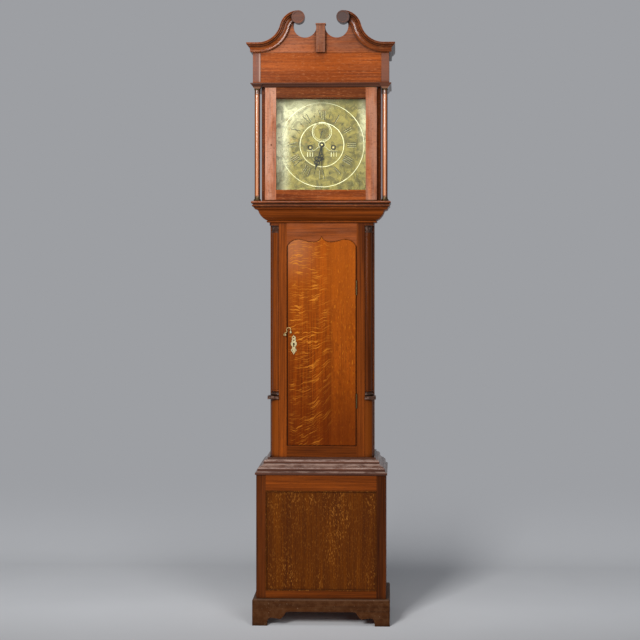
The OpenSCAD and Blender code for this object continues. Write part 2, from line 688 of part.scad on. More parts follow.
hollow_z = frieze_z1 + 87;
module tympanum() stand() color("chocolate") cutout(frieze_d - frame_t, frieze_d) {
    cut = 38;
    cut_x = 52;
    edge = neck_edge(5);
    difference() {
        polygon(concat([[-frieze_w / 2, frieze_z1], [frieze_w / 2, frieze_z1],
            [frieze_w / 2, neck_level - 5]], edge, [[roundel_x, hollow_z], [-roundel_x, hollow_z]],
            [for (i = [len(edge) - 1:-1:0]) [-edge[i][0], edge[i][1]]],
            [[-frieze_w / 2, neck_level - 5]]));
        for (s = [-1, 1]) translate([s * cut_x, hollow_z]) circle(r = cut);
    }
    for (s = [-1, 1]) translate([s * roundel_x, roundel_z]) circle(r = roundel_r - 2);
}

module finial_block() stand() color("sienna") {
    w = 29;
    top = hollow_z + 3;
    board([-w / 2, w / 2], [frieze_d, frieze_d + 13], [frieze_z1, top]);
    board([-w / 2 - 2, w / 2 + 2], [frieze_d - frame_t + 1, frieze_d + 15], [top, top + 4]);
}

// Square block that widens upward, standing over a column
module square_bell(z, half) for (s = [-1, 1]) intersection() {
    side = [[-half[0], z[0]], [half[0], z[0]], [half[1], z[1]], [-half[1], z[1]]];
    translate([s * column_x, -column_d + 50, 0]) rotate([90, 0, 0]) linear_extrude(100) polygon(side);
    translate([s * column_x - 50, -column_d, 0]) rotate([90, 0, 90]) linear_extrude(100) polygon(side);
}
capital_half = [9.5, 13, 19.5];
capital_z0 = cap_z0 - 6;
module frieze_moulding() stand() color("sienna") {
    out = (frieze_w - hood_w) / 2 + board_t;
    difference() {
        union() {
            planted(hood_w - 2 * board_t, frieze_d - out, [for (p = concat(
                [[0, frieze_mould_h], [0, 0], [out - 3, 0], [out - 2, 2]],
                arc(out + 6, 3, 6, 170, 100, 4),
                [[out + 7.5, 9], [out + 7.5, frieze_mould_h]])) [p[0], cap_z0 + p[1]]], 0.5);
            // Breaks over the columns
            square_bell([cap_z0, cap_z0 + 9], [capital_half[1], capital_half[2]]);
        }
        translate([hood_hinge_x, -hood_hinge_q, cap_z0 - 1]) cylinder(r = hood_pin_r + run_fit, h = 9);
    }
}

module hood_base() stand() color("sienna") {
    out = (frieze_w + 11 - frame_in_w) / 2;
    h = hood_base_h;
    difference() {
        planted(frame_in_w, trunk_d + 5.5, [for (p = concat(
            [[0, h], [0, 0], [out - 8, 0], [out - 7.5, 3]],
            arc(out - 6.5, 7.5, 4, -90, 80, 5),
            [[out - 6.5, 12.5], [out - 2.5, 13.3]],
            arc(out - 4, h - 4.8, 4.5, -60, 80, 5),
            [[out - 4, h]])) [p[0], hood_z0 + p[1]]], back_t + 0.5);
        translate([hood_hinge_x, -hood_hinge_q, deck_z - 8]) cylinder(r = hood_pin_r + run_fit, h = 9);
    }
}

// Shaft and wooden capital of each free column
base_ring = 13;
neck_ring = 5;
module hood_columns() stand() color("sienna") {
    z0 = deck_z + base_ring;
    for (s = [-1, 1]) translate([s * column_x, -column_d, z0]) cylinder(r = column_r,
        h = capital_z0 - neck_ring - z0);
    square_bell([capital_z0, cap_z0], [capital_half[0], capital_half[1]]);
}

// Turned brass base and neck ring of each free column
module column_ends() stand() color("goldenrod") for (s = [-1, 1]) translate([s * column_x, -column_d, 0]) {
    foot = column_r + 3.5;
    rotate_extrude() polygon(concat([[0, deck_z], [foot - 0.6, deck_z]],
        arc(foot - 2, deck_z + 2.6, 2, -45, 90, 5),
        arc(foot - 0.4, deck_z + 8.6, 3.1, 235, 165, 5),
        [[column_r, deck_z + base_ring], [0, deck_z + base_ring]]));
    rotate_extrude() polygon(concat([[0, capital_z0 - neck_ring], [column_r, capital_z0 - neck_ring]],
        arc(column_r - 0.4, capital_z0 - neck_ring / 2, 1.9, -70, 70, 6), [[column_r, capital_z0],
        [0, capital_z0]]));
}

// How far the mask laps over the dial's edge
mask_lap = 1.5;
module dial_mask() stand() color("saddlebrown") {
    q = [dial_face + 3, dial_face + 10];
    half = hood_w / 2 - board_t;
    sight = dial_w / 2 - mask_lap;
    both_sides() board([sight, half], q, [deck_z, cap_z0]);
    board([-sight + glue, sight - glue], q, [deck_z, dial_z - sight]);
    board([-sight + glue, sight - glue], q, [dial_z + sight, cap_z0]);
}

hood_hinge_x = hood_door_w / 2 - 3.2;
hood_hinge_q = hood_side_d + 10.5;
hood_pin_r = 2.2;
hood_pin_l = 7;
// Length and thickness of the plates that carry the pins
pivot_l = 38;
pivot_t = 1.6;
module hood_door_frame() stand() color("sienna") {
    half = hood_door_w / 2;
    q = [hood_side_d + 1, hood_door_d];
    difference() {
        union() {
            both_sides() board([sight_w / 2, half], q, [hood_door_z0, hood_door_z1]);
            for (z = [hood_door_z0, hood_door_z1 - hood_rail])
                board([-sight_w / 2 + glue, sight_w / 2 - glue], q, [z, z + hood_rail]);
        }
        // Rebate for the glass and moulded inner edge
        board([-sight_w / 2 - 6, sight_w / 2 + 6], [hood_side_d, hood_door_d - 12],
            [hood_door_z0 + hood_rail - 6, hood_door_z1 - hood_rail + 6]);
        // Keyhole
        cutout(hood_side_d, hood_door_d + 1) translate([-half + 20, hood_door_z0 + 182]) {
            circle(r = 1.8);
            translate([-0.9, -5]) square([1.8, 5]);
        }
    }
}
module hood_door_glass() stand() color("lightcyan", 0.3)
    board([-sight_w / 2 - 5.7, sight_w / 2 + 5.7], [hood_door_d - 12 - glass_t, hood_door_d - 12],
        [hood_door_z0 + hood_rail - 5.7, hood_door_z1 - hood_rail + 5.7]);
module hood_door_hinges() stand() color("goldenrod")
    for (top = [0, 1]) {
        z = top ? hood_door_z1 : hood_door_z0 - pivot_t;
        board([hood_hinge_x - pivot_l, hood_hinge_x + hood_pin_r + 0.3],
            [hood_hinge_q - 3, hood_hinge_q + 9], [z, z + pivot_t]);
        translate([hood_hinge_x, -hood_hinge_q, top ? z + pivot_t - glue : z - hood_pin_l])
            cylinder(r = hood_pin_r, h = hood_pin_l + glue);
    }

module dial_plate() stand() color("darkkhaki") difference() {
    board([-dial_w / 2, dial_w / 2], [dial_back, dial_face], [dial_z - dial_w / 2, dial_z + dial_w / 2]);
    on_arbor([0, 0], dial_back - 1) cylinder(r = 6.6, h = dial_t + 2);
    on_arbor(going_at, dial_back - 1) cylinder(r = wind_r, h = dial_t + 2);
    on_arbor(strike_at, dial_back - 1) cylinder(r = wind_r, h = dial_t + 2);
    on_arbor(escape_at, dial_back - 1) cylinder(r = 2.2, h = dial_t + 2);
}

module movement_plates() stand() color("gold") {
    for (q = [plate_back, plate_front]) difference() {
        board([-plate_w / 2, plate_w / 2], [q, q + plate_t], [plate_z0, plate_z1]);
        for (at = [third_at, pin_at, hoop_at, warn_at, fly_at, hammer_at, escape_at, pallet_at])
            on_arbor(at, q - 1) cylinder(r = 0.8 + run_fit, h = plate_t + 2);
        on_arbor([0, 0], q - 1) cylinder(r = 2 + run_fit, h = plate_t + 2);
        for (at = [going_at, strike_at]) on_arbor(at, q - 1) cylinder(r = 3.4 + run_fit, h = plate_t + 2);
    }
    // Back cock that carries the pendulum
    difference() {
        union() {
            board([-16, 16], [pendulum_q - 8, plate_back], [pivot_z + 4, pivot_z + 20]);
        }
        board([-9, 9], [pendulum_q + 9, plate_back], [pivot_z + 3, pivot_z + 12]);
    }
    // Suspension spring's fixed end
    board([-4, 4], [pendulum_q - 0.3, pendulum_q + 0.3], [pivot_z + 0.3, pivot_z + 4]);
    // Stud of the motion work
    on_arbor(minute_at, plate_front + plate_t) {
        cylinder(r = 1.6, h = 1.7);
        cylinder(r = stud_r, h = 10);
    }
}

stud_r = 0.75;
module movement_pillars() stand() color("gold") {
    x = plate_w / 2 - 10;
    low = 10 - plate_down;
    top = plate_up - 9;
    for (at = [[-x, low], [x, low], [x - 24, top], [24 - x, top], [x, plate_up - 62]])
        on_arbor(at, plate_back + plate_t) rotate_extrude() polygon(concat([[0, 0], [5.5, 0], [5.5, 4]],
            arc(4, 8, 2.6, -60, 60, 4), [[3.4, 14]], arc(3.4, plate_gap / 2, 3.4, -60, 60, 6),
            [[3.4, plate_gap - 14]], arc(4, plate_gap - 8, 2.6, -60, 60, 4),
            [[5.5, plate_gap - 4], [5.5, plate_gap], [0, plate_gap]]));
    // Feet of the dial
    for (at = [[6 - x, low + 8], [x - 6, low + 8], [6 - x, top - 9], [x - 6, top - 9]])
        on_arbor(at, plate_front + plate_t) cylinder(r = 3, h = dial_back - plate_front - plate_t);
}

bell_z = plate_z1 + 14;
bell_r = 40;
bell_q = plate_back + 42;
module bell() stand() color("silver") translate([0, -bell_q, bell_z]) {
    rotate_extrude() polygon(concat([[bell_r, 0], [bell_r + 1.5, -3], [bell_r + 3, -3]],
        arc(0, 0, bell_r + 3, 0, 82, 10), [[5, bell_r + 3], [3.2, bell_r + 3], [3.2, bell_r]],
        arc(0, 0, bell_r, 82, 0, 10)));
    // Stand screwed to the back plate, with the nut on the bell's crown
    translate([0, 0, bell_r + 3 + glue]) cylinder(r = 6, h = 4);
    translate([0, 0, -10]) cylinder(r = 3, h = bell_r + 15);
    translate([-7, -3, -14]) cube([14, bell_q - plate_back + 3, 4]);
    translate([-7, bell_q - plate_back, -28]) cube([14, 3, 18]);
}

// Great wheel, free on its barrel's arbor
module great_wheel(at, n, m, phase) stand() color("gold") on_arbor(at, great_q)
    clock_wheel(n, m, phase, wheel_t + 1, 4 + run_fit, 5);
module going_great_wheel() great_wheel(going_at, great_n, great_m, great_phase);
module strike_great_wheel() great_wheel(strike_at, strike_n, strike_m, 0);

// Phases of the teeth, worked out from wheel to wheel
centre_leaf_phase = 0;
great_phase = mesh_phase(atan2(going_at[1], going_at[0]), leaf8, great_n, centre_leaf_phase);
third_leaf_phase = mesh_phase(third_dir, centre_n, leaf8, 0);
escape_leaf_phase = mesh_phase(escape_dir, third_n, leaf7, 0);
pin_leaf_phase = mesh_phase(pin_dir, strike_n, leaf8, 0);
hoop_leaf_phase = mesh_phase(hoop_dir, pin_n, leaf8, 0);
warn_leaf_phase = mesh_phase(warn_dir, hoop_n, leaf7, 0);
fly_leaf_phase = mesh_phase(fly_dir, warn_n, leaf7, 0);
minute_phase = mesh_phase(-90, cannon_n, cannon_n, 0);
hour_phase = mesh_phase(90, hour_leaf, hour_n, 0);

// Line drum on its winding arbor
module barrel(at) stand() color("gold") on_arbor(at, 0) {
    translate([0, 0, drum_q]) difference() {
        cylinder(r = drum_r, h = drum_l);
        for (i = [0:14]) translate([0, 0, 4 + i * (drum_l - 8) / 14]) rotate_extrude()
            translate([drum_r, 0]) circle(r = 0.5, $fn = 16);
    }
    translate([0, 0, drum_q - 2]) cylinder(r = drum_r + 2, h = 2);
    translate([0, 0, drum_q + drum_l]) cylinder(r = drum_r + 1, h = 1.4);
    translate([0, 0, plate_back + plate_t + 0.5]) cylinder(r = 4, h = plate_gap - 1);
    translate([0, 0, plate_back]) cylinder(r = 3.4, h = plate_gap + 2 * plate_t);
    translate([-2.6, -2.6, plate_front + plate_t]) cube([5.2, 5.2, dial_face - plate_front - plate_t + 1]);
}
module going_barrel() barrel(going_at);
module strike_barrel() barrel(strike_at);

module centre_wheel() stand() color("gold") on_arbor([0, 0], 0) {
    translate([0, 0, centre_q]) clock_wheel(centre_n, centre_m, 0, wheel_t, 0);
    translate([0, 0, great_q - 3]) pinion(leaf8, great_m, centre_leaf_phase, 8.5);
    translate([0, 0, plate_back]) cylinder(r = 2, h = minute_hand_q + 3 - plate_back);
    // Cannon pipe with its wheel
    translate([0, 0, cannon_q]) clock_wheel(cannon_n, cannon_m, 0, wheel_t, 0);
    translate([0, 0, cannon_q]) cylinder(r = 3, h = minute_hand_q - cannon_q);
}

module third_wheel() stand() color("gold") on_arbor(third_at, 0) {
    arbor(plate_back + plate_t + 0.3, plate_front - 0.3);
    translate([0, 0, centre_q - 2]) pinion(leaf8, centre_m, third_leaf_phase, 7);
    translate([0, 0, third_q]) clock_wheel(third_n, third_m, 0, wheel_t, 0);
}

module escape_wheel() stand() color("gold") on_arbor(escape_at, 0) {
    arbor(plate_back + plate_t + 0.3, plate_front - 0.3, 1.5);
    translate([0, 0, plate_front]) cylinder(r = 0.8, h = dial_face + 1 - plate_front);
    translate([0, 0, third_q - 2]) pinion(leaf7, third_m, escape_leaf_phase, 7);
    translate([0, 0, escape_q]) linear_extrude(wheel_t) difference() {
        polygon([for (i = [0:escape_n - 1], k = [[0, escape_r], [1.5, escape_r], [4, escape_r - 4], [10, escape_r - 4]])
            let (a = -i * 12 - k[0]) [k[1] * cos(a), k[1] * sin(a)]]);
        difference() {
            circle(r = escape_r - 6.5);
            circle(r = 4);
            for (a = [0, 90]) rotate(a) square([40, 2.4], center = true);
        }
    }
}

// Anchor of the recoil escapement with its arbor and the crutch behind the plate
module pallets() stand() color("slategray") {
    on_arbor(pallet_at, 0) {
        arbor(plate_back + plate_t + 0.3, plate_front - 0.3, 1.6);
        translate([0, 0, plate_back - 6]) cylinder(r = 0.8, h = 9);
        translate([0, 0, escape_q - 1.5]) linear_extrude(5)
            polygon([[-4, -1.5], [4, -1.5], [10.8, -5.5], [13.4, -11.7], [15.2, -10.5], [13.5, -3.5], [6, 3],
                [-6, 3], [-13.5, -3.5], [-15.2, -10.5], [-13.4, -11.7], [-10.8, -5.5]]);
    }
    board([-2, 2], [plate_back - 6, plate_back - 4], [pivot_z - 110, pivot_z + 3]);
    both_sides() board([3.2, 5], [pendulum_q - 4, plate_back - 4], [pivot_z - 113, pivot_z - 107]);
    board([-5, 5], [plate_back - 6, plate_back - 4], [pivot_z - 113, pivot_z - 107]);
}

module pendulum_rod() stand() color("dimgray") {
    board([-4, 4], [pendulum_q - 0.25, pendulum_q + 0.25], [pivot_z - 30, pivot_z]);
    board([-3, 3], [pendulum_q - 3, pendulum_q + 3], [pivot_z - 122, pivot_z - 30]);
    translate([0, -pendulum_q, bob_z - bob_r - 32]) cylinder(r = 2.5, h = pivot_z - 122 - bob_z + bob_r + 32);
}
module pendulum_bob() stand() color("goldenrod") {
    half = 12;
    translate([0, -pendulum_q, bob_z]) rotate([90, 0, 0]) difference() {
        rotate_extrude() polygon([[0, -half], [bob_r * 0.3, -half], [bob_r * 0.62, -half * 0.8],
            [bob_r * 0.86, -half * 0.45], [bob_r, -1], [bob_r, 1], [bob_r * 0.86, half * 0.45],
            [bob_r * 0.62, half * 0.8], [bob_r * 0.3, half], [0, half]]);
        rotate([90, 0, 0]) translate([0, 0, -bob_r - 10])
            cylinder(r = 2.5 + run_fit, h = 2 * bob_r + 20);
    }
    // Rating nut that the bob rests on
    translate([0, -pendulum_q, bob_z - bob_r - 6 - glue]) difference() {
        cylinder(r = 9, h = 6);
        translate([0, 0, -1]) cylinder(r = 2.5 + run_fit, h = 8);
    }
}

module minute_wheel() stand() color("gold") on_arbor(minute_at, 0) difference() {
    union() {
        translate([0, 0, cannon_q]) clock_wheel(cannon_n, cannon_m, minute_phase, wheel_t, 0);
        translate([0, 0, cannon_q + wheel_t]) pinion(hour_leaf, hour_m, 0, 4.5);
    }
    translate([0, 0, cannon_q - 1]) cylinder(r = stud_r + run_fit, h = 20);
}

module hour_wheel() stand() color("gold") on_arbor([0, 0], 0) difference() {
    union() {
        translate([0, 0, hour_q]) clock_wheel(hour_n, hour_m, hour_phase, wheel_t, 0);
        translate([0, 0, hour_q]) cylinder(r = 5, h = hour_hand_q - hour_q);
    }
    translate([0, 0, hour_q - 1]) cylinder(r = 3 + run_fit, h = 50);
}

// Pierced blued-steel hand lying on the dial, pointing up before it is turned
module hour_shape() difference() {
    union() {
        circle(r = 8);
        polygon([[-2.6, 5.5], [2.6, 5.5], [1.8, hour_len * 0.5], [-1.8, hour_len * 0.5]]);
        for (s = [-1, 1]) {
            translate([s * 5, hour_len * 0.55]) circle(r = 7.5);
            translate([s * 4, hour_len * 0.70]) circle(r = 6.5);
        }
        polygon([[-4.5, hour_len * 0.74], [4.5, hour_len * 0.74], [0, hour_len]]);
    }
    for (s = [-1, 1]) {
        translate([s * 5.4, hour_len * 0.55]) circle(r = 4);
        translate([s * 4.4, hour_len * 0.695]) circle(r = 3);
    }
    circle(r = 5.02);
}
module minute_shape() difference() {
    union() {
        circle(r = 6);
        polygon([[-2.2, 4.5], [2.2, 4.5], [1.5, minute_len * 0.42], [0, minute_len],
            [-1.5, minute_len * 0.42]]);
        translate([0, minute_len * 0.3]) circle(r = 6.5);
        for (s = [-1, 1]) translate([s * 3.5, minute_len * 0.38]) circle(r = 4.5);
    }
    translate([0, minute_len * 0.3]) circle(r = 3.6);
    for (s = [-1, 1]) translate([s * 4, minute_len * 0.38]) circle(r = 2);
    circle(r = 3.02);
}
module hour_hand() stand() color("midnightblue") on_arbor([0, 0], hour_hand_q - 1.4)
    linear_extrude(1.2) rotate(-195) hour_shape();
module minute_hand() stand() color("midnightblue") on_arbor([0, 0], minute_hand_q - 1)
    linear_extrude(1) rotate(-180) minute_shape();
module seconds_hand() stand() color("midnightblue") on_arbor(escape_at, dial_face + 1)
    linear_extrude(0.8) rotate(-14) {
        circle(r = 2.6);
        polygon([[-1.5, -22], [1.5, -22], [0.8, 0], [0.3, 29], [-0.3, 29], [-0.8, 0]]);
    }

module pin_wheel() stand() color("gold") on_arbor(pin_at, 0) {
    arbor(plate_back + plate_t + 0.3, plate_front - 0.3);
    translate([0, 0, great_q - 3]) pinion(leaf8, strike_m, pin_leaf_phase, 8.5);
    translate([0, 0, centre_q]) clock_wheel(pin_n, pin_m, 0, wheel_t, 0);
    for (i = [0:7]) rotate(i * 45) translate([17, 0, centre_q + wheel_t - 0.1]) cylinder(r = 0.8, h = 3);
}
module hoop_wheel() stand() color("gold") on_arbor(hoop_at, 0) {
    arbor(plate_back + plate_t + 0.3, plate_front - 0.3);
    translate([0, 0, centre_q - 2]) pinion(leaf8, pin_m, hoop_leaf_phase, 7);
    translate([0, 0, third_q]) clock_wheel(hoop_n, hoop_m, 0, wheel_t, 0);
}
module warning_wheel() stand() color("gold") on_arbor(warn_at, 0) {
    arbor(plate_back + plate_t + 0.3, plate_front - 0.3, 1.5);
    translate([0, 0, third_q - 2]) pinion(leaf7, hoop_m, warn_leaf_phase, 7);
    translate([0, 0, warn_q]) clock_wheel(warn_n, warn_m, 0, wheel_t, 0);
}
module fly() stand() color("gold") on_arbor(fly_at, 0) {
    arbor(plate_back + plate_t + 0.3, plate_front - 0.3, 1.3);
    translate([0, 0, warn_q - 2]) pinion(leaf7, warn_m, fly_leaf_phase, 6);
    translate([-11, -0.5, third_q + 6]) cube([22, 1, 12]);
}

// Hammer with its arbor and tail
module hammer() stand() color("slategray") {
    on_arbor(hammer_at, 0) arbor(plate_back + plate_t + 0.3, plate_front - 0.3);
    x = hammer_at[0];
    z = dial_z + hammer_at[1];
    head_z = bell_z + 2;
    board([x - 1.5, x + 1.5], [bell_q - 2, bell_q + 2], [z, head_z]);
    translate([x - 5, -bell_q, head_z]) rotate([0, 90, 0]) cylinder(r = 7, h = -x + 5 - bell_r - 4.5);
}

// Weights, each in the bight of its line
going_line_x = going_at[0] - line_r;
strike_line_x = strike_at[0] - line_r;
function line_xs() = [going_line_x, going_line_x + 2 * pulley_r, strike_line_x, strike_line_x + 2 * pulley_r];
module gut_line(x) stand() color("wheat") translate([x, -line_q, 0]) {
    translate([0, 0, rest_z]) cylinder(r = gut_r, h = dial_z + going_at[1] - rest_z, $fn = 16);
    translate([2 * pulley_r, 0, rest_z]) cylinder(r = gut_r, h = seat_z0 + seat_t - rest_z, $fn = 16);
    translate([2 * pulley_r, 0, seat_z0 + seat_t]) cylinder(r = 4.6, h = 4);
    translate([pulley_r, 0, rest_z]) rotate([-90, 0, 0]) rotate_extrude(angle = 180)
        translate([pulley_r, 0]) circle(r = gut_r, $fn = 16);
}
module going_line() gut_line(going_line_x);
module strike_line() gut_line(strike_line_x);
module sheave(x) stand() color("gold") translate([x + pulley_r, -line_q, rest_z]) rotate([90, 0, 0])
    difference() {
        translate([0, 0, -4]) cylinder(r = pulley_r + 2, h = 8);
        rotate_extrude() translate([pulley_r + 2, 0]) polygon([[1, -3], [1, 3], [-3, 1.1], [-3, -1.1]]);
        translate([0, 0, -5]) cylinder(r = 2 + run_fit, h = 10);
    }
module going_pulley() sheave(going_line_x);
module strike_pulley() sheave(strike_line_x);
module weight(x) stand() color("darkgoldenrod") translate([x + pulley_r, -line_q, rest_z]) {
    translate([0, 0, -weight_gap - weight_h]) rotate_extrude() polygon(concat([[0, 0], [weight_r - 3, 0]],
        arc(weight_r - 3, 3, 3, -90, 0, 4), arc(weight_r - 3, weight_h - 3, 3, 0, 90, 4), [[0, weight_h]]));
    // Stirrup and pin that carry the pulley
    for (s = [-1, 1]) translate([-4, s * 6.2 - 1, -weight_gap + 6]) cube([8, 2, weight_gap + 2]);
    translate([-4, -7.2, -weight_gap + 6]) cube([8, 14.4, 5]);
    translate([0, 0, -weight_gap]) cylinder(r = 3, h = 7);
    rotate([90, 0, 0]) translate([0, 0, -7.4]) cylinder(r = 2, h = 14.8);
}
module going_weight() weight(going_line_x);
module strike_weight() weight(strike_line_x);

backboard();
trunk_sides();
trunk_frame();
quarter_columns();
throat_moulding();
seatboard();
base_carcase();
base_frame();
base_panel();
base_moulding();
plinth();
case_brassware();
trunk_door();
door_brassware();
escutcheon();
door_lock();
door_hook();
hood_carcase();
frieze();
tympanum();
swan_necks();
finial_block();
frieze_moulding();
hood_base();
hood_columns();
column_ends();
dial_mask();
hood_door_frame();
hood_door_glass();
hood_door_hinges();
dial_plate();
movement_plates();
movement_pillars();
bell();
going_great_wheel();
going_barrel();
centre_wheel();
third_wheel();
escape_wheel();
pallets();
pendulum_rod();
pendulum_bob();
minute_wheel();
hour_wheel();
minute_hand();
hour_hand();
seconds_hand();
strike_great_wheel();
strike_barrel();
pin_wheel();
hoop_wheel();
warning_wheel();
fly();
hammer();
going_weight();
going_pulley();
going_line();
strike_weight();
strike_pulley();
strike_line();
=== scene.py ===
# %% [markdown]
# # Dressing a longcase clock
# The clock comes in as finished CAD: every board, wheel and hinge is already a solid of the right
# size in the right place. What is left for Blender is what a cabinet maker's polish and two
# centuries of use do to it. This file gives each piece its timber, metal or glass, adds the thin
# engraving of the dial, and sets the clock on a plain studio floor.

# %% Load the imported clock
import math
import random

import bmesh
import bpy
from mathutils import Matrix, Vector


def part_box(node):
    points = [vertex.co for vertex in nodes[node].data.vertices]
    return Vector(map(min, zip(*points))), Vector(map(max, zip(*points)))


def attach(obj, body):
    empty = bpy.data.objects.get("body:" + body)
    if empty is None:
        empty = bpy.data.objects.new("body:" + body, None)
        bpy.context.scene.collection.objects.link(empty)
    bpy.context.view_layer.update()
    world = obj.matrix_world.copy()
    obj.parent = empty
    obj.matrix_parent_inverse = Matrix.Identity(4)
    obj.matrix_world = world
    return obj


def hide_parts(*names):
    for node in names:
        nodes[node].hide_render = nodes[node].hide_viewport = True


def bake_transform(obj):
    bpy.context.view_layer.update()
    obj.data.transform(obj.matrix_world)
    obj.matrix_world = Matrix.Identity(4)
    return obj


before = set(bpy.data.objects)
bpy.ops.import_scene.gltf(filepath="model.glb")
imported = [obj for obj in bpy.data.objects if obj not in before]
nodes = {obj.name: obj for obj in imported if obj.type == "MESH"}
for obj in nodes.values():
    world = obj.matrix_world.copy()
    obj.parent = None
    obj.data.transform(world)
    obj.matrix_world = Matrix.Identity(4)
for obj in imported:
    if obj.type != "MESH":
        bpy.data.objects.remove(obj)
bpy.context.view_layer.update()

# %% [markdown]
# ## Short hands for shader nodes
# A procedural finish is a chain of small nodes. A few helpers keep the chains readable: one adds a
# node and fills its sockets, two do sums, two mix colours, and the rest make noise and say where a
# point is. Most give back a socket, so calls can be nested in the order in which light meets them.

# %% Node helpers
def add(tree, kind, values=None, **settings):
    """Adds a node, sets its settings, and links or fills the sockets named in values."""
    node = tree.nodes.new(kind)
    for name, value in settings.items():
        setattr(node, name, value)
    for name, value in (values or {}).items():
        socket = node.inputs[name]
        if isinstance(value, bpy.types.NodeSocket):
            tree.links.new(value, socket)
        else:
            socket.default_value = value
    return node


def sum_of(tree, operation, a, b=0.0, clamp=False):
    return add(tree, "ShaderNodeMath", {0: a, 1: b}, operation=operation, use_clamp=clamp).outputs[0]


def times(tree, first, *others, clamp=False):
    """The product of several values. Where it is clamped, the last step does that."""
    for step, other in enumerate(others, 1):
        first = sum_of(tree, "MULTIPLY", first, other, clamp and step == len(others))
    return first


def spread(tree, value, low, high, to_low=0.0, to_high=1.0):
    """Stretches the span from low to high over the span from to_low to to_high."""
    values = {"Value": value, "From Min": low, "From Max": high, "To Min": to_low, "To Max": to_high}
    return add(tree, "ShaderNodeMapRange", values, interpolation_type="SMOOTHSTEP").outputs["Result"]


def tint(tree, amount, a, b, blend_type="MIX"):
    node = add(tree, "ShaderNodeMix", {0: amount, 6: a, 7: b}, data_type="RGBA", blend_type=blend_type)
    return node.outputs[2]


def stain(tree, mask, strength, under, rgb):
    """Lays a colour over another one where the mask is, and nowhere more strongly than strength."""
    return tint(tree, sum_of(tree, "MULTIPLY", mask, strength), under, (*rgb, 1))


def stretched(tree, vector, factors):
    return add(tree, "ShaderNodeVectorMath", {0: vector, 1: factors}, operation="MULTIPLY").outputs[0]


def noise(tree, vector, factors, detail=3.0, distortion=0.0, roughness=0.55):
    """Noise whose cells are 1 / factors metres long on each axis."""
    values = {"Vector": stretched(tree, vector, factors), "Scale": 1.0, "Detail": detail,
              "Roughness": roughness, "Distortion": distortion}
    return add(tree, "ShaderNodeTexNoise", values).outputs["Fac"]


def patches(tree, vector, factors, low, high, to_low=0.0, to_high=1.0, **look):
    """Separate patches: noise that is cut off below one level and above another."""
    return spread(tree, noise(tree, vector, factors, **look), low, high, to_low, to_high)


# %% Where a point is, and which way it faces
def place_of(tree):
    return add(tree, "ShaderNodeTexCoord").outputs["Object"]


def axes(tree, vector):
    return add(tree, "ShaderNodeSeparateXYZ", {0: vector}).outputs


def facing(tree):
    """The way that the surface faces, as x, y and z."""
    return axes(tree, add(tree, "ShaderNodeNewGeometry").outputs["Normal"])


def bump(tree, strength, depth, height, normal=None):
    """A relief of that depth in metres, over a normal that is already rounded where one is given."""
    values = {"Strength": strength, "Distance": depth, "Height": height}
    if normal:
        values["Normal"] = normal
    return add(tree, "ShaderNodeBump", values).outputs[0]


def feed(tree, node, values):
    for name, socket in values.items():
        tree.links.new(socket, node.inputs[name])


# %% A helper for shader groups
def new_group(name, takes, gives):
    """An empty shader group with named sockets, and its two end nodes."""
    group = bpy.data.node_groups.new(name, "ShaderNodeTree")
    for label, kind, value in takes:
        socket = group.interface.new_socket(name=label, in_out="INPUT", socket_type="NodeSocket" + kind)
        if value is not None:
            socket.default_value = value
    for label, kind in gives:
        group.interface.new_socket(name=label, in_out="OUTPUT", socket_type="NodeSocket" + kind)
    return group, group.nodes.new("NodeGroupInput").outputs, group.nodes.new("NodeGroupOutput")


def use(tree, group, values):
    return add(tree, "ShaderNodeGroup", values, node_tree=group).outputs


def finish_group(group, end, results):
    feed(group, end, results)
    print("shader group:", group.name)


# %% Helpers for new objects
def put_in_scene(name, data):
    thing = bpy.data.objects.new(name, data)
    bpy.context.scene.collection.objects.link(thing)
    return thing


def mesh_data(name, mesh):
    """Turns a bmesh into mesh data, and frees it."""
    data = bpy.data.meshes.new(name)
    mesh.to_mesh(data)
    mesh.free()
    return data


# %% [markdown]
# ## Which way the grain runs
# A joiner cuts rails with the grain lying down and stiles with it standing up, and no two boards
# show the same figure. One node of the CAD may hold several boards, so a texture on the object's own
# axes would run straight across the joints. Instead each board is found as a loose part of the mesh,
# its longest side is taken as the way of its grain, and the result is stored on its points as an
# attribute that the timber shaders read. A second attribute holds how light the board is and how much
# pale colour it takes. Old cases mix timber from more than one log, so boards differ in tone; besides,
# the boards on the right are set darker as painted shade, and the pale colour is partly bleached wood
# and partly a painted reflection of the lamps on the polish.

# %% Find the separate boards of a node
def boards_of(mesh):
    """Lists of vertex numbers, one list for each loose solid of the mesh."""
    place, root = {}, []
    for vertex in mesh.vertices:
        key = tuple(round(c, 5) for c in vertex.co)
        root.append(place.setdefault(key, vertex.index))

    def top(i):
        while root[i] != i:
            root[i] = root[root[i]]
            i = root[i]
        return i

    for face in mesh.polygons:
        first = top(face.vertices[0])
        for v in face.vertices[1:]:
            root[top(v)] = first
    boards = {}
    for i in range(len(root)):
        boards.setdefault(top(i), []).append(i)
    return [boards[k] for k in sorted(boards)]
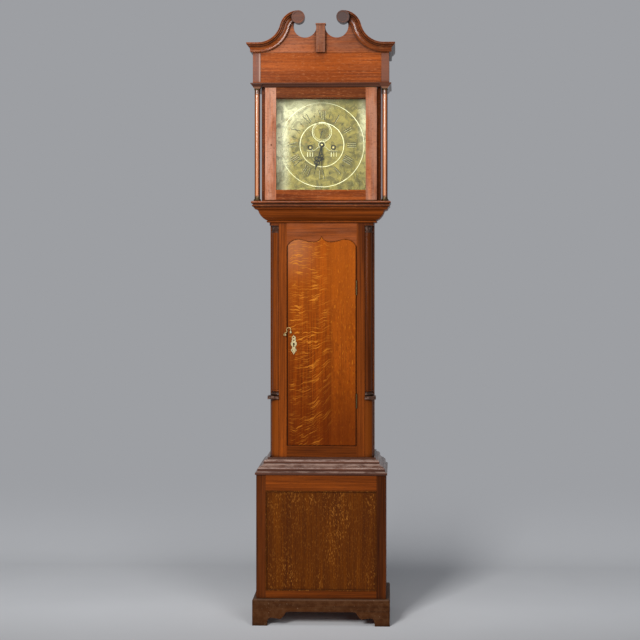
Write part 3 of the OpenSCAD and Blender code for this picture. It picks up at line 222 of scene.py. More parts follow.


# %% Tone of each board
# For a node and a side of it: how light the board is, with the boards on the right set darker as painted
# shade, and how much pale colour it takes, partly bleached wood and partly a painted reflection
TONES = {
    ("hood_door_frame", "left"): (1.10, 0.60), ("hood_door_frame", "right"): (1.00, 0.46),
    ("hood_door_frame", "high"): (0.44, 0.03), ("hood_door_frame", "low"): (1.05, 0.02),
    ("swan_necks", "left"): (1.05, 0.10), ("swan_necks", "right"): (0.90, 0.06),
    ("finial_block", "any"): (0.66, 0.38), ("tympanum", "any"): (0.98, 0.18),
    ("frieze", "any"): (1.05, 0.03), ("hood_base", "any"): (0.95, 0.0),
    ("throat_moulding", "any"): (1.05, 0.0), ("trunk_frame", "left"): (1.12, 0.0),
    ("trunk_frame", "right"): (0.94, 0.0), ("trunk_frame", "high"): (1.30, 0.05),
    ("trunk_frame", "low"): (0.85, 0.0), ("quarter_columns", "left"): (0.85, 0.02),
    ("quarter_columns", "right"): (0.62, 0.02), ("base_frame", "high"): (1.12, 0.0),
    ("base_frame", "low"): (0.75, 0.0), ("base_frame", "left"): (0.54, 0.02),
    ("base_frame", "right"): (0.40, 0.02), ("base_moulding", "any"): (1.0, 0.0),
}
# A board less wide than this stands at one side, whatever its height
NARROW = 0.05


def side_of(low, high, whole_low, whole_high):
    """Where a board is in its node: upright and narrow boards are left or right, the rest high or low."""
    middle = (low + high) / 2
    if high.z - low.z > high.x - low.x or high.x - low.x < NARROW:
        return "left" if middle.x < 0 else "right"
    return "high" if middle.z > (whole_low.z + whole_high.z) / 2 else "low"


# Nodes whose grain stands upright although the board is wider than it is high
UPRIGHT_GRAIN = {"base_panel"}


def tone_of(name, side):
    return TONES.get((name, side)) or TONES.get((name, "any")) or (1.0, 0.0)


# %% Write the grain and the tone on the points
def mark_grain(name):
    mesh = nodes[name].data
    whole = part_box(name)
    grain = mesh.attributes.new("grain", "FLOAT_VECTOR", "POINT")
    board = mesh.attributes.new("board", "FLOAT_VECTOR", "POINT")
    chance = random.Random(name)
    pieces = boards_of(mesh)
    for piece in pieces:
        points = [mesh.vertices[i].co for i in piece]
        low = Vector([min(p[a] for p in points) for a in range(3)])
        high = Vector([max(p[a] for p in points) for a in range(3)])
        size = high - low
        along = 2 if name in UPRIGHT_GRAIN else max(range(3), key=lambda a: size[a])
        order = (along, (along + 1) % 3, (along + 2) % 3)
        shift = Vector([chance.uniform(0, 9) for _ in range(3)])
        light, bleach_and_sheen = tone_of(name, side_of(low, high, *whole))
        light *= chance.uniform(0.95, 1.05)
        for i, p in zip(piece, points):
            grain.data[i].vector = Vector([p[a] for a in order]) + shift
            board.data[i].vector = (light, bleach_and_sheen, shift.x)
    return len(pieces)


# %% [markdown]
# ## Shader group: timber
# Cut wood shows three things at three sizes: slow bands from year to year, streaks a few
# millimetres wide, and pores that hold old polish and look like short dark scratches. All three are
# the same noise pulled long in the direction of the grain, so one group serves mahogany, oak and
# pine with different values. Its height output is small: the pores are all that a finger would feel.

# %% Timber group
timber, given, end = new_group("Timber", [
    ("Grain", "Vector", None), ("Board", "Vector", None), ("Light", "Color", (0.4, 0.12, 0.03, 1)),
    ("Dark", "Color", (0.12, 0.03, 0.01, 1)), ("Bleach and sheen", "Color", (0.62, 0.34, 0.25, 1)),
    ("Band", "Float", 0.5), ("Streak", "Float", 0.5), ("Pore", "Float", 0.5)],
    [("Color", "Color"), ("Height", "Float")])
bands = noise(timber, given["Grain"], (1.3, 26, 26), detail=2, distortion=0.5)
streaks = noise(timber, given["Grain"], (5, 210, 210), detail=4)
pores = patches(timber, given["Grain"], (70, 1300, 1300), 0.56, 0.72, detail=2)
tone = sum_of(timber, "ADD", times(timber, sum_of(timber, "SUBTRACT", bands, 0.5), given["Band"]),
              times(timber, sum_of(timber, "SUBTRACT", streaks, 0.5), given["Streak"]))
CONTRAST = 3.2
tone = sum_of(timber, "ADD", times(timber, tone, CONTRAST), 0.5, clamp=True)
wood_colour = tint(timber, tone, given["Dark"], given["Light"])
light, bleach_and_sheen, _ = axes(timber, given["Board"])
# Pale colour over clouds of each board: partly bleached wood, partly a painted reflection of the lamps on
# the polish
cloud = patches(timber, given["Grain"], (9, 30, 30), 0.35, 0.65, 0.35, 1.0, detail=4)
wood_colour = tint(timber, times(timber, bleach_and_sheen, cloud), wood_colour, given["Bleach and sheen"])
# Each board's lightness multiplies its colour; the darker boards on the right carry painted shade
lit = add(timber, "ShaderNodeCombineXYZ", {0: light, 1: light, 2: light}).outputs[0]
wood_colour = tint(timber, 1.0, wood_colour, lit, "MULTIPLY")
held = times(timber, pores, given["Pore"])
wood_colour = stain(timber, held, 0.75, wood_colour, (0.03, 0.012, 0.006))
height = sum_of(timber, "SUBTRACT", times(timber, streaks, 0.25), held)
finish_group(timber, end, {"Color": wood_colour, "Height": height})

# %% [markdown]
# ## Shader group: worn edges, and corners darkened by grime and painted shade
# Hands and dusters rub the polish from every arris, and wax and dust settle where they can't reach. The
# corner mask also paints the shade that falls in corners and recesses, so it stands for grime and painted
# shade together.
# The bevel node looks a little way round each point: where the rounded direction leaves the true
# one, the point is near an edge. Ambient occlusion does the reverse for corners. The masks are
# broken up with noise, because wear that follows every edge evenly looks like a drawn outline.

# %% Wear group
wear, given, end = new_group("Wear", [
    ("Reach", "Float", 0.002), ("Edge", "Float", 0.5), ("Grime and shade", "Float", 0.5)],
    [("Edge", "Float"), ("Grime and shade", "Float"), ("Normal", "Vector")])
place = place_of(wear)
rounded = add(wear, "ShaderNodeBevel", {"Radius": given["Reach"]}, samples=4).outputs[0]
true = add(wear, "ShaderNodeNewGeometry").outputs["Normal"]
agree = add(wear, "ShaderNodeVectorMath", {0: rounded, 1: true}, operation="DOT_PRODUCT").outputs["Value"]
broken = patches(wear, place, (60, 60, 45), 0.42, 0.62, detail=5)
edge = spread(wear, agree, 0.995, 0.86)
edge = times(wear, edge, given["Edge"], broken, clamp=True)
# Ambient occlusion darkens corners and recesses: grime, and painted shade where shade falls
open_air = add(wear, "ShaderNodeAmbientOcclusion", {"Distance": 0.022}, samples=6).outputs["AO"]
dust = patches(wear, place, (25, 25, 25), 0.3, 0.7, 0.6, 1.0, detail=4)
grime_and_shade = times(wear, spread(wear, open_air, 0.94, 0.45), given["Grime and shade"])
grime_and_shade = times(wear, grime_and_shade, dust, clamp=True)
finish_group(wear, end, {"Edge": edge, "Grime and shade": grime_and_shade, "Normal": rounded})

# %% [markdown]
# ## Shader group: scratches and handling
# Polish is never evenly glossy. Soft smears change how sharply it mirrors the room, and fine
# scratches run mostly one way. The group gives a roughness that wanders round a chosen middle, and
# is shared by timber, brass and steel.

# %% Handling group
handling, given, end = new_group("Handling", [
    ("Roughness", "Float", 0.4), ("Variation", "Float", 0.12), ("Scratch", "Float", 0.3)],
    [("Roughness", "Float"), ("Scratch", "Float")])
place = place_of(handling)
smear = sum_of(handling, "SUBTRACT", noise(handling, place, (14, 14, 9), detail=4), 0.5)
fine = patches(handling, place, (900, 900, 30), 0.60, 0.70, detail=1)
fine = times(handling, fine, given["Scratch"])
gloss = sum_of(handling, "ADD", given["Roughness"], times(handling, smear, 3.0, given["Variation"]))
gloss = sum_of(handling, "ADD", gloss, times(handling, fine, 0.15), clamp=True)
finish_group(handling, end, {"Roughness": gloss, "Scratch": fine})

# %% [markdown]
# ## A recipe for polished timber
# Every timber of the case is the same stack: figured wood, an edge colour, grime and painted shade in
# the corners, then a thin coat of wax polish. The edge colour is worn wood on most timbers and painted
# shade on the trunk's frame and door. The recipe builds that stack once. Constant values go straight to
# the shader's own sockets, and only what changes over the surface is linked.

# %% Polished timber
def new_material(name, **constants):
    material = bpy.data.materials.new(name)
    material.use_nodes = True
    tree = material.node_tree
    tree.nodes.clear()
    shader = add(tree, "ShaderNodeBsdfPrincipled", constants)
    out = add(tree, "ShaderNodeOutputMaterial", {"Surface": shader.outputs[0]})
    return material, tree, shader, out


def attribute(tree, name):
    return add(tree, "ShaderNodeAttribute", attribute_name=name).outputs["Vector"]


# Near-black colour of corners and recesses: grime and painted shade
GRIME_AND_SHADE = (0.010, 0.005, 0.003, 1)
# Pale pinkish colour: bleached wood, and a painted reflection of the lamps on the polish
BLEACH_AND_SHEEN = (0.64, 0.36, 0.25, 1)


def polished_timber(name, light, dark, band=0.5, streak=0.5, pore=0.4, rough=0.42, coat=0.04,
                    edge=0.5, grime_and_shade=0.75, edge_wear_and_shade=None, over=None, reach=0.0016):
    """over adds what only this timber shows, and the edge colour argument is the colour of its edges: pale
    worn wood by default, and painted shade where a dark colour is given.
    """
    material, tree, shader, _ = new_material(name, **{
        "Coat Weight": coat, "Coat Roughness": 0.14, "Specular IOR Level": 0.05})
    wood = use(tree, timber, {
        "Grain": attribute(tree, "grain"), "Board": attribute(tree, "board"), "Light": (*light, 1),
        "Dark": (*dark, 1), "Bleach and sheen": BLEACH_AND_SHEEN, "Band": band, "Streak": streak, "Pore": pore})
    colour = over(tree, wood) if over else wood["Color"]
    marks = use(tree, wear, {"Reach": reach, "Edge": edge, "Grime and shade": grime_and_shade})
    colour = tint(tree, marks["Edge"], colour, (*(edge_wear_and_shade or [min(1, c * 1.5 + 0.02) for c in light]), 1))
    # Corners and recesses darken with grime and painted shade
    colour = tint(tree, marks["Grime and shade"], colour, GRIME_AND_SHADE)
    hands = use(tree, handling, {"Roughness": rough, "Variation": 0.10, "Scratch": 0.25})
    relief = bump(tree, 0.35, 0.0004, wood["Height"], marks["Normal"])
    feed(tree, shader, {"Base Color": colour, "Roughness": hands["Roughness"], "Normal": relief})
    return material


# %% [markdown]
# ## Mahogany for the hood
# The hood is a red wood that has faded to orange in its open grain. Broad soft bands tell it from
# the oak of the door. Its frieze is golden in the middle, with short glints lying across it, and its
# plain ends and the roundels of the swan necks are grey. All of that is laid over the group's wood.

# %% Mahogany
# Each pair is where an area begins to show and where it is full, in metres
FRIEZE_FOOT, FRIEZE_HEAD = (1.778, 1.782), (1.876, 1.872)
FRIEZE_END = (0.1975, 0.1985)
ROUNDEL_X, ROUNDEL_Z = 0.073, 1.9894
ROUNDEL_EDGE = (0.0235, 0.0215)


def with_pale_ends(tree, wood):
    """Golden frieze with grey ends, grey roundels, and darker wood towards the right above them."""
    place = place_of(tree)
    x, _, z = axes(tree, place)
    frieze = times(tree, spread(tree, z, *FRIEZE_FOOT), spread(tree, z, *FRIEZE_HEAD))
    # Interlocked figure: short painted glints that lie across the frieze, most of them in its golden middle
    figure_glints = patches(tree, place, (60, 60, 260), 0.52, 0.66, detail=4, roughness=0.7)
    golden = times(tree, spread(tree, sum_of(tree, "ABSOLUTE", x), 0.15, 0.03, 0.35, 1.0), frieze)
    colour = stain(tree, golden, 0.60, wood["Color"], (0.25, 0.044, 0.001))
    colour = stain(tree, figure_glints, 0.26, colour, (0.64, 0.25, 0.09))
    dim = patches(tree, place, (80, 80, 200), 0.52, 0.68, detail=4, roughness=0.7)
    colour = stain(tree, dim, 0.42, colour, (0.10, 0.022, 0.006))
    # The frieze's ends
    left = times(tree, spread(tree, x, *[-end for end in FRIEZE_END]), frieze)
    right = times(tree, spread(tree, x, *FRIEZE_END), frieze)
    rays = noise(tree, place, (40, 40, 8), detail=4)
    colour = stain(tree, left, spread(tree, rays, 0.3, 0.6, 0.45, 0.9), colour, (0.21, 0.100, 0.075))
    inner = times(tree, spread(tree, x, -0.2045, -0.2015), spread(tree, x, -0.1965, -0.1985), frieze)
    colour = stain(tree, inner, 0.45, colour, (0.62, 0.42, 0.33))
    colour = stain(tree, right, 0.85, colour, (0.18, 0.078, 0.052))
    # Above the frieze the wood is darker towards the right
    shade = times(tree, spread(tree, x, -0.16, 0.16, 0.08, 0.42), spread(tree, z, 1.872, 1.880))
    colour = tint(tree, shade, colour, (0.075, 0.018, 0.006, 1))
    from_roundel = add(tree, "ShaderNodeCombineXYZ", {
        0: sum_of(tree, "SUBTRACT", sum_of(tree, "ABSOLUTE", x), ROUNDEL_X), 1: 0.0,
        2: sum_of(tree, "SUBTRACT", z, ROUNDEL_Z)}).outputs[0]
    distance = add(tree, "ShaderNodeVectorMath", {0: from_roundel}, operation="LENGTH").outputs["Value"]
    grey = times(tree, spread(tree, distance, *ROUNDEL_EDGE), spread(tree, x, -0.04, 0.04, 0.70, 0.95))
    return tint(tree, grey, colour, (0.080, 0.055, 0.050, 1))


mahogany = polished_timber("hood_mahogany", (0.45, 0.098, 0.012), (0.130, 0.023, 0.003),
                           band=0.55, streak=0.75, pore=0.5, rough=0.40, over=with_pale_ends)
print("made", mahogany.name)

# %% [markdown]
# ## Varnished columns and the trunk's frame
# The hood's free columns are the glossiest wood on the clock: a painted highlight runs down the middle,
# and painted shade makes the flanks go dark quickly. Painting that by the way the surface faces keeps it
# on the column from any side. The frame of the trunk and the base is oak, and its long edges are painted
# dark as shade.

# %% Free columns and frames
# The painted highlight stands a little to the left of the column's middle
HIGHLIGHT_LEAN = 0.08


def with_painted_column_shading(tree, wood):
    """Painted shade darkens the free columns quickly towards both flanks, and a painted highlight runs down
    the middle.
    """
    side, _, _ = facing(tree)
    turned_away = sum_of(tree, "ABSOLUTE", sum_of(tree, "ADD", side, HIGHLIGHT_LEAN))
    # Painted shade on the flanks, and a painted highlight down the middle
    painted_flank_shade = spread(tree, turned_away, 0.50, 0.90)
    painted_crown_highlight = spread(tree, turned_away, 0.42, 0.10)
    colour = stain(tree, painted_crown_highlight, 0.7, wood["Color"], (0.85, 0.40, 0.20))
    _, _, z = axes(tree, place_of(tree))
    cap = sum_of(tree, "MAXIMUM", spread(tree, z, 1.738, 1.742), spread(tree, z, 1.410, 1.406))
    colour = stain(tree, cap, 0.75, colour, (0.075, 0.030, 0.016))
    return stain(tree, painted_flank_shade, 0.92, colour, (0.030, 0.006, 0.002))


column_mahogany = polished_timber("column_mahogany", (0.46, 0.125, 0.026), (0.150, 0.030, 0.005),
                                  band=0.5, streak=0.7, pore=0.3, coat=1.0, rough=0.24,
                                  over=with_painted_column_shading)
# Its dark edge colour paints shade along the edges of the frame
frame_oak = polished_timber("frame_oak", (0.290, 0.062, 0.006), (0.095, 0.019, 0.002), band=0.55,
                            streak=0.6, pore=0.6, rough=0.42, edge=0.8, edge_wear_and_shade=(0.040, 0.010, 0.003),
                            reach=0.0035)
print("made", column_mahogany.name, "and", frame_oak.name)

# %% [markdown]
# ## Mouldings
# A moulding takes its colour from the way that its surface faces. On the dark mouldings a pale
# painted highlight lies on what faces up. On the hood the crests carry a painted highlight, and the
# undersides are painted black as shade. Noise breaks both up.

# %% Mouldings
def with_painted_top_highlights(tree, wood):
    """A pale painted highlight lies on every round that faces up, and the hollows between stay nearly
    black.
    """
    place = place_of(tree)
    _, _, up = facing(tree)
    broken = patches(tree, place, (30, 30, 160), 0.34, 0.60, 0.25, 1.0, detail=4)
    # Painted highlight on the rounds that face up
    top = times(tree, spread(tree, up, 0.30, 0.62), spread(tree, up, 0.97, 0.80, 0.45, 1.0), broken)
    return stain(tree, top, 0.62, wood["Color"], (0.50, 0.34, 0.27))


def with_lit_crests(tree, wood):
    """The crests of the hood's mouldings carry a pale painted highlight, and their undersides are painted
    black as shade.
    """
    _, _, up = facing(tree)
    place = place_of(tree)
    broken = patches(tree, place, (25, 25, 40), 0.35, 0.62, 0.5, 1.0, detail=3)
    # Painted highlight on the crests that face up
    painted_crest_highlight = times(tree, spread(tree, up, 0.25, 0.50), spread(tree, up, 0.95, 0.70), broken)
    # Painted shade, nearly black, on the undersides that face down
    under = spread(tree, up, -0.15, -0.60)
    colour = stain(tree, painted_crest_highlight, 0.34, with_pale_ends(tree, wood), (0.46, 0.17, 0.08))
    return stain(tree, under, 0.80, colour, (0.022, 0.008, 0.004))


dark_moulding = polished_timber("dark_moulding", (0.150, 0.050, 0.024), (0.050, 0.016, 0.008), band=0.5,
                                streak=0.6, pore=0.5, coat=0.5, rough=0.36, grime_and_shade=0.9, over=with_painted_top_highlights)
warm_moulding = polished_timber("warm_moulding", (0.330, 0.072, 0.008), (0.100, 0.020, 0.002), band=0.5,
                                streak=0.6, pore=0.5, coat=0.35, rough=0.34, grime_and_shade=0.95,
                                over=with_lit_crests)
print("made", dark_moulding.name, "and", warm_moulding.name)

# %% [markdown]
# ## Quarter columns
# A quarter column stands in each corner of the trunk. Its turned rings and tiles are nearly black
# with pale spots, partly rubbed wear and partly painted glints, and the pedestal below is lighter
# than the shaft. They are told apart by height alone, since both columns are level with each other.
# The outer edge of each column is painted dark, as shade.

# %% Quarter columns
def with_grey_rings(tree, wood):
    place = place_of(tree)
    x, _, z = axes(tree, place)
    low = times(tree, spread(tree, z, 0.7355, 0.7365), spread(tree, z, 0.760, 0.758))
    high = times(tree, spread(tree, z, 1.286, 1.288), spread(tree, z, 1.3115, 1.3105))
    # Pale spots on the rings: partly rubbed wear, partly painted glints
    wear_and_glint_spots = patches(tree, place, (70, 70, 90), 0.50, 0.62, detail=3)
    ring = tint(tree, wear_and_glint_spots, (0.050, 0.030, 0.022, 1), (0.17, 0.105, 0.080, 1))
    pedestal = spread(tree, z, 0.737, 0.735)
    colour = stain(tree, pedestal, 0.5, wood["Color"], (0.27, 0.060, 0.004))
    # Painted shade: the outer edge of each quarter column is darkened
    edge = spread(tree, sum_of(tree, "ABSOLUTE", x), 0.1640, 0.1725)
    colour = stain(tree, edge, 0.75, colour, (0.035, 0.010, 0.004))
    return tint(tree, times(tree, sum_of(tree, "MAXIMUM", low, high), 0.85), colour, ring)


column_oak = polished_timber("column_oak", (0.280, 0.058, 0.004), (0.085, 0.016, 0.001), band=0.5,
                             streak=0.6, pore=0.5, coat=0.12, rough=0.34, over=with_grey_rings)
print("made", column_oak.name)

# %% [markdown]
# ## Quartered oak for the trunk door
# Oak that is cut along its rays shows them as bright golden flakes lying across the grain. On this
# door they sweep up to the right over the left two thirds, and the board on the right is plain. The
# flakes are noise again, but laid out on a bent height: the height of a point less the rise of the
# sweep under it. Every line of equal bent height is then one curved path for the flakes to follow.

# %% Flakes of the trunk door
DOOR_EDGE = 0.1145
DOOR_JOINT = 0.030


def with_rays(tree, wood):
    """Golden flakes on the wide board, the joint, the plain board beside it, and a painted shadow round the
    rim.
    """
    place = place_of(tree)
    x, _, z = axes(tree, place)
    from_left = sum_of(tree, "ADD", x, DOOR_EDGE)
    rise = times(tree, sum_of(tree, "POWER", from_left, 2.0), 3.4)
    lower = spread(tree, z, 1.02, 0.78, 0.15, 1.0)
    wander = times(tree, sum_of(tree, "SUBTRACT", noise(tree, place, (15, 1, 7), detail=3), 0.5), 0.050)
    bent = sum_of(tree, "SUBTRACT", z, times(tree, rise, lower))
    bent = sum_of(tree, "ADD", bent, wander)
    path = add(tree, "ShaderNodeCombineXYZ", {0: x, 1: 0.0, 2: bent}).outputs[0]
    wide = patches(tree, path, (19, 1, 190), 0.610, 0.645, detail=1, distortion=0.1)
    thin = patches(tree, path, (26, 1, 380), 0.585, 0.630, detail=1, distortion=0.1)
    flake = sum_of(tree, "MAXIMUM", wide, times(tree, thin, 0.60))
    flake = times(tree, flake, spread(tree, z, 0.72, 0.95, 0.62, 1.0))
    patch = patches(tree, place, (16, 1, 12), 0.34, 0.56, 0.25, 1.0, detail=2)
    where = times(tree, spread(tree, x, 0.046, -0.004), spread(tree, x, -0.1135, -0.100))
    flake = times(tree, flake, patch, where)
    # The board on the right, and the joint between the two
    right = spread(tree, x, 0.026, 0.034)
    colour = stain(tree, right, 0.45, wood["Color"], (0.44, 0.098, 0.006))
    joint = sum_of(tree, "ABSOLUTE", sum_of(tree, "SUBTRACT", x, DOOR_JOINT))
    colour = tint(tree, spread(tree, joint, 0.0030, 0.0, 0.0, 0.40), colour, (0.080, 0.016, 0.002, 1))
    # Blotches and glints of the plain board, and fine dark grain over the whole door
    blotch = patches(tree, place, (45, 1, 14), 0.48, 0.64, detail=4, roughness=0.65)
    colour = stain(tree, times(tree, blotch, right), 0.50, colour, (0.17, 0.032, 0.002))
    grit = patches(tree, place, (330, 1, 90), 0.52, 0.66, detail=3, roughness=0.7)
    colour = stain(tree, grit, 0.50, colour, (0.10, 0.017, 0.001))
    glint = patches(tree, place, (240, 1, 60), 0.60, 0.68, detail=2)
    colour = stain(tree, times(tree, glint, right), 0.45, colour, (0.72, 0.22, 0.012))
    # Darker towards the left edge; painted light makes the door lighter higher up and darker towards the
    # foot, with a painted sheen at the upper left
    margin = spread(tree, x, -0.080, -0.112)
    colour = stain(tree, margin, 0.45, colour, (0.15, 0.030, 0.003))
    high = spread(tree, z, 0.85, 1.22)
    colour = stain(tree, high, 0.40, colour, (0.48, 0.105, 0.005))
    low = spread(tree, z, 0.92, 0.60)
    colour = stain(tree, low, 0.72, colour, (0.110, 0.016, 0.0005))
    painted_sheen = times(tree, spread(tree, z, 1.10, 1.25), spread(tree, x, 0.0, -0.09))
    colour = stain(tree, painted_sheen, 0.30, colour, (0.55, 0.27, 0.14))
    colour = stain(tree, flake, 0.72, colour, (0.74, 0.250, 0.022))
    # Painted shadow round the rim of the door
    painted_rim_shadow = spread(tree, sum_of(tree, "ABSOLUTE", x), 0.1105, 0.1128)
    return stain(tree, painted_rim_shadow, 0.85, colour, (0.020, 0.006, 0.003))


# Its dark edge colour paints shade along the door's edges
door_oak = polished_timber("quartered_oak", (0.39, 0.072, 0.002), (0.125, 0.020, 0.001),
                           band=0.45, streak=0.60, pore=0.55, rough=0.38, edge=0.9,
                           edge_wear_and_shade=(0.030, 0.008, 0.002), over=with_rays, reach=0.0045)
print("made", door_oak.name)

# %% [markdown]
# ## Plain oak for the base, and pine inside
# The panel of the base is darker oak with a scatter of short upright flecks. The plinth is nearly
# black from mops and boots, with pale chips. Boards that nobody sees are bare pine.

# %% Base, plinth and inside
def with_flecks(tree, wood):
    """Short golden flecks that stand upright, thick in some places and thin in others."""
    along = attribute(tree, "grain")
    fleck = patches(tree, along, (120, 480, 480), 0.58, 0.68, detail=1)
    patch = patches(tree, along, (4, 14, 14), 0.42, 0.62, 0.25, 1.0, detail=3)
    return stain(tree, times(tree, fleck, patch), 0.75, wood["Color"], (0.42, 0.150, 0.020))


def with_chips(tree, wood):
    """Brown blotches, a painted highlight along the top shoulder, and pale chips."""
    place = place_of(tree)
    chip = patches(tree, place, (190, 190, 190), 0.70, 0.74, detail=2)
    _, _, z = axes(tree, place)
    blotch = patches(tree, place, (60, 60, 60), 0.42, 0.62, detail=5, roughness=0.7)
    colour = stain(tree, blotch, 0.4, wood["Color"], (0.13, 0.055, 0.022))
    # Painted highlight along the rounded top edge
    painted_shoulder_highlight = times(tree, spread(tree, z, 0.0820, 0.0845), 0.45)
    colour = tint(tree, painted_shoulder_highlight, colour, (0.15, 0.085, 0.050, 1))
    return stain(tree, chip, 0.7, colour, (0.36, 0.22, 0.13))


panel_oak = polished_timber("panel_oak", (0.150, 0.036, 0.001), (0.062, 0.013, 0.0015), band=0.40,
                            streak=0.5, pore=0.7, coat=0.04, rough=0.48, over=with_flecks)
plinth_oak = polished_timber("plinth_oak", (0.085, 0.027, 0.007), (0.032, 0.010, 0.003), band=0.5,
                             streak=0.5, pore=0.6, coat=0.05, rough=0.5, edge=0.8, over=with_chips)
pine = polished_timber("bare_pine", (0.52, 0.34, 0.18), (0.30, 0.17, 0.08), band=0.6, streak=0.6,
                       pore=0.15, coat=0.0, rough=0.75, edge=0.2, grime_and_shade=0.8)
print("made", panel_oak.name, plinth_oak.name, pine.name)

# %% [markdown]
# ## Brass, bell metal and steel
# A metal's colour is the colour of its reflection, so Metallic is 1 and the base colour is the
# tint. Old brass is bright where it is rubbed and brown-green where air has dulled it. The wear
# group's edge mask brightens the rubbed edges, and its corner mask darkens recesses with grime and
# painted shade. The tarnish also dulls the reflection.

# %% Worked metal
SCRATCH_DEPTH = 0.0001
# Where the aged colour sets in, in metres to the right of the middle
HINGE_SIDE = (0.10, 0.11)


def worked_metal(name, bright, dull, rough=0.3, tarnish=0.5, aged=None):
    """aged is the colour of the pieces on the clock's right, such as hinges that nobody rubs."""
    material, tree, shader, _ = new_material(name, **{"Metallic": 1.0})
    place = place_of(tree)
    cloud = patches(tree, place, (45, 45, 45), 0.40, 0.66, detail=5, distortion=0.8)
    marks = use(tree, wear, {"Reach": 0.0006, "Edge": 0.9, "Grime and shade": 0.8})
    film = times(tree, cloud, tarnish)
    colour = tint(tree, film, (*bright, 1), (*dull, 1))
    colour = tint(tree, marks["Edge"], colour, (*[min(1, c * 1.15) for c in bright], 1))
    if aged:
        x, _, _ = axes(tree, place)
        colour = tint(tree, spread(tree, x, *HINGE_SIDE, 0.0, 0.90), colour, (*aged, 1))
    # Recesses of the metal darken with grime and painted shade
    colour = tint(tree, marks["Grime and shade"], colour, (*[c * 0.25 for c in dull], 1))
    hands = use(tree, handling, {"Roughness": rough, "Variation": 0.10, "Scratch": 0.4})
    gloss = sum_of(tree, "ADD", hands["Roughness"], times(tree, film, 0.2), clamp=True)
    relief = bump(tree, 0.4, SCRATCH_DEPTH, hands["Scratch"], marks["Normal"])
    feed(tree, shader, {"Base Color": colour, "Roughness": gloss, "Normal": relief})
    return material


brass = worked_metal("clock_brass", (0.83, 0.63, 0.28), (0.36, 0.24, 0.09), rough=0.32)
case_brass = worked_metal("case_brass", (0.80, 0.66, 0.36), (0.34, 0.26, 0.12), rough=0.38, tarnish=0.6,
                          aged=(0.075, 0.045, 0.018))
old_brass = worked_metal("blackened_brass", (0.20, 0.13, 0.06), (0.060, 0.036, 0.018), rough=0.45,
                         tarnish=0.8)
hook_brass = worked_metal("hook_brass", (0.86, 0.58, 0.24), (0.45, 0.24, 0.08), rough=0.34, tarnish=0.6)
bell_metal = worked_metal("bell_metal", (0.74, 0.66, 0.50), (0.36, 0.30, 0.20), rough=0.26)
steel = worked_metal("polished_steel", (0.56, 0.57, 0.58), (0.22, 0.17, 0.13), rough=0.30)
blued = worked_metal("blued_steel", (0.040, 0.040, 0.036), (0.034, 0.030, 0.020), rough=0.5)
print("made", brass.name, case_brass.name, old_brass.name, hook_brass.name, bell_metal.name, steel.name,
      blued.name)

# %% [markdown]
# ## The dial's brass
# The dial was silvered once and is now blotched brass. Near some of its edges it is pale, partly
# from silver left there and partly from a painted reflection. A mirror-bright plate would show the
# dark studio through the glass, so most of its colour is a matt film, and at most a quarter of it
# reflects as metal.

# %% Dial brass
def dial_metal():
    material, tree, shader, _ = new_material("dial_brass", **{"Specular IOR Level": 0.3})
    place = place_of(tree)
    blotch = patches(tree, place, (34, 34, 34), 0.38, 0.64, detail=7, distortion=0.9, roughness=0.66)
    speck = patches(tree, place, (210, 210, 210), 0.55, 0.68, detail=4, roughness=0.7)
    colour = tint(tree, blotch, (0.240, 0.185, 0.045, 1), (0.090, 0.071, 0.016, 1))
    colour = stain(tree, speck, 0.50, colour, (0.055, 0.042, 0.012))
    x, _, z = axes(tree, place)
    # Pale colour, partly silvering left and partly a painted reflection, lies along the left edge, in a
    # band across the upper left, and up the right edge
    slant = sum_of(tree, "SUBTRACT", z, times(tree, x, 0.8))
    across = times(tree, spread(tree, slant, 1.650, 1.790), 0.55)
    silvering_and_reflection = sum_of(tree, "MAXIMUM", spread(tree, x, -0.098, -0.138), across)
    right = times(tree, spread(tree, x, 0.112, 0.140), spread(tree, z, 1.52, 1.66, 0.05, 0.42))
    silvering_and_reflection = sum_of(tree, "MAXIMUM", silvering_and_reflection, right)
    silvering_and_reflection = times(tree, silvering_and_reflection, spread(tree, z, 1.43, 1.56, 0.40, 1.0))
    silvering_and_reflection = times(tree, silvering_and_reflection, spread(tree, blotch, 0.0, 1.0, 1.0, 0.50))
    colour = tint(tree, silvering_and_reflection, colour, (1.0, 0.93, 0.66, 1))
    rust = patches(tree, place, (60, 60, 60), 0.55, 0.68, detail=5)
    rusty = times(tree, rust, spread(tree, slant, 1.52, 1.64))
    colour = stain(tree, rusty, 0.5, colour, (0.26, 0.15, 0.035))
    # Painted light: the top band of the dial is lightened
    high = times(tree, spread(tree, z, 1.695, 1.728), 0.30)
    colour = tint(tree, high, colour, (0.50, 0.44, 0.20, 1))
    hands = use(tree, handling, {"Roughness": 0.55, "Variation": 0.12, "Scratch": 0.5})
    metal = sum_of(tree, "SUBTRACT", spread(tree, blotch, 0.0, 1.0, 0.26, 0.12), times(tree, silvering_and_reflection, 0.2),
                   clamp=True)
    feed(tree, shader, {"Base Color": colour, "Roughness": hands["Roughness"], "Metallic": metal,
                        "Normal": bump(tree, 0.3, SCRATCH_DEPTH, hands["Scratch"])})
    return material


dial_brass = dial_metal()
silvered = worked_metal("silvered_lines", (1.0, 0.95, 0.70), (0.62, 0.56, 0.28), rough=0.6, tarnish=0.7)
silvered.node_tree.nodes["Principled BSDF"].inputs["Metallic"].default_value = 0.15
print("made", dial_brass.name, "and", silvered.name)

# %% [markdown]
# ## Gut and glass
# Twisted gut is translucent and waxy, with a fine ridge that winds along it. The glass is old crown
# glass: faintly green, not quite flat, and so thin that it shows mostly its reflections. Lamps must
# reach the dial behind it, so a shadow ray passes straight through.

# %% Gut
# Angle of the twist, in radians for each metre along the line
TWIST = 3200


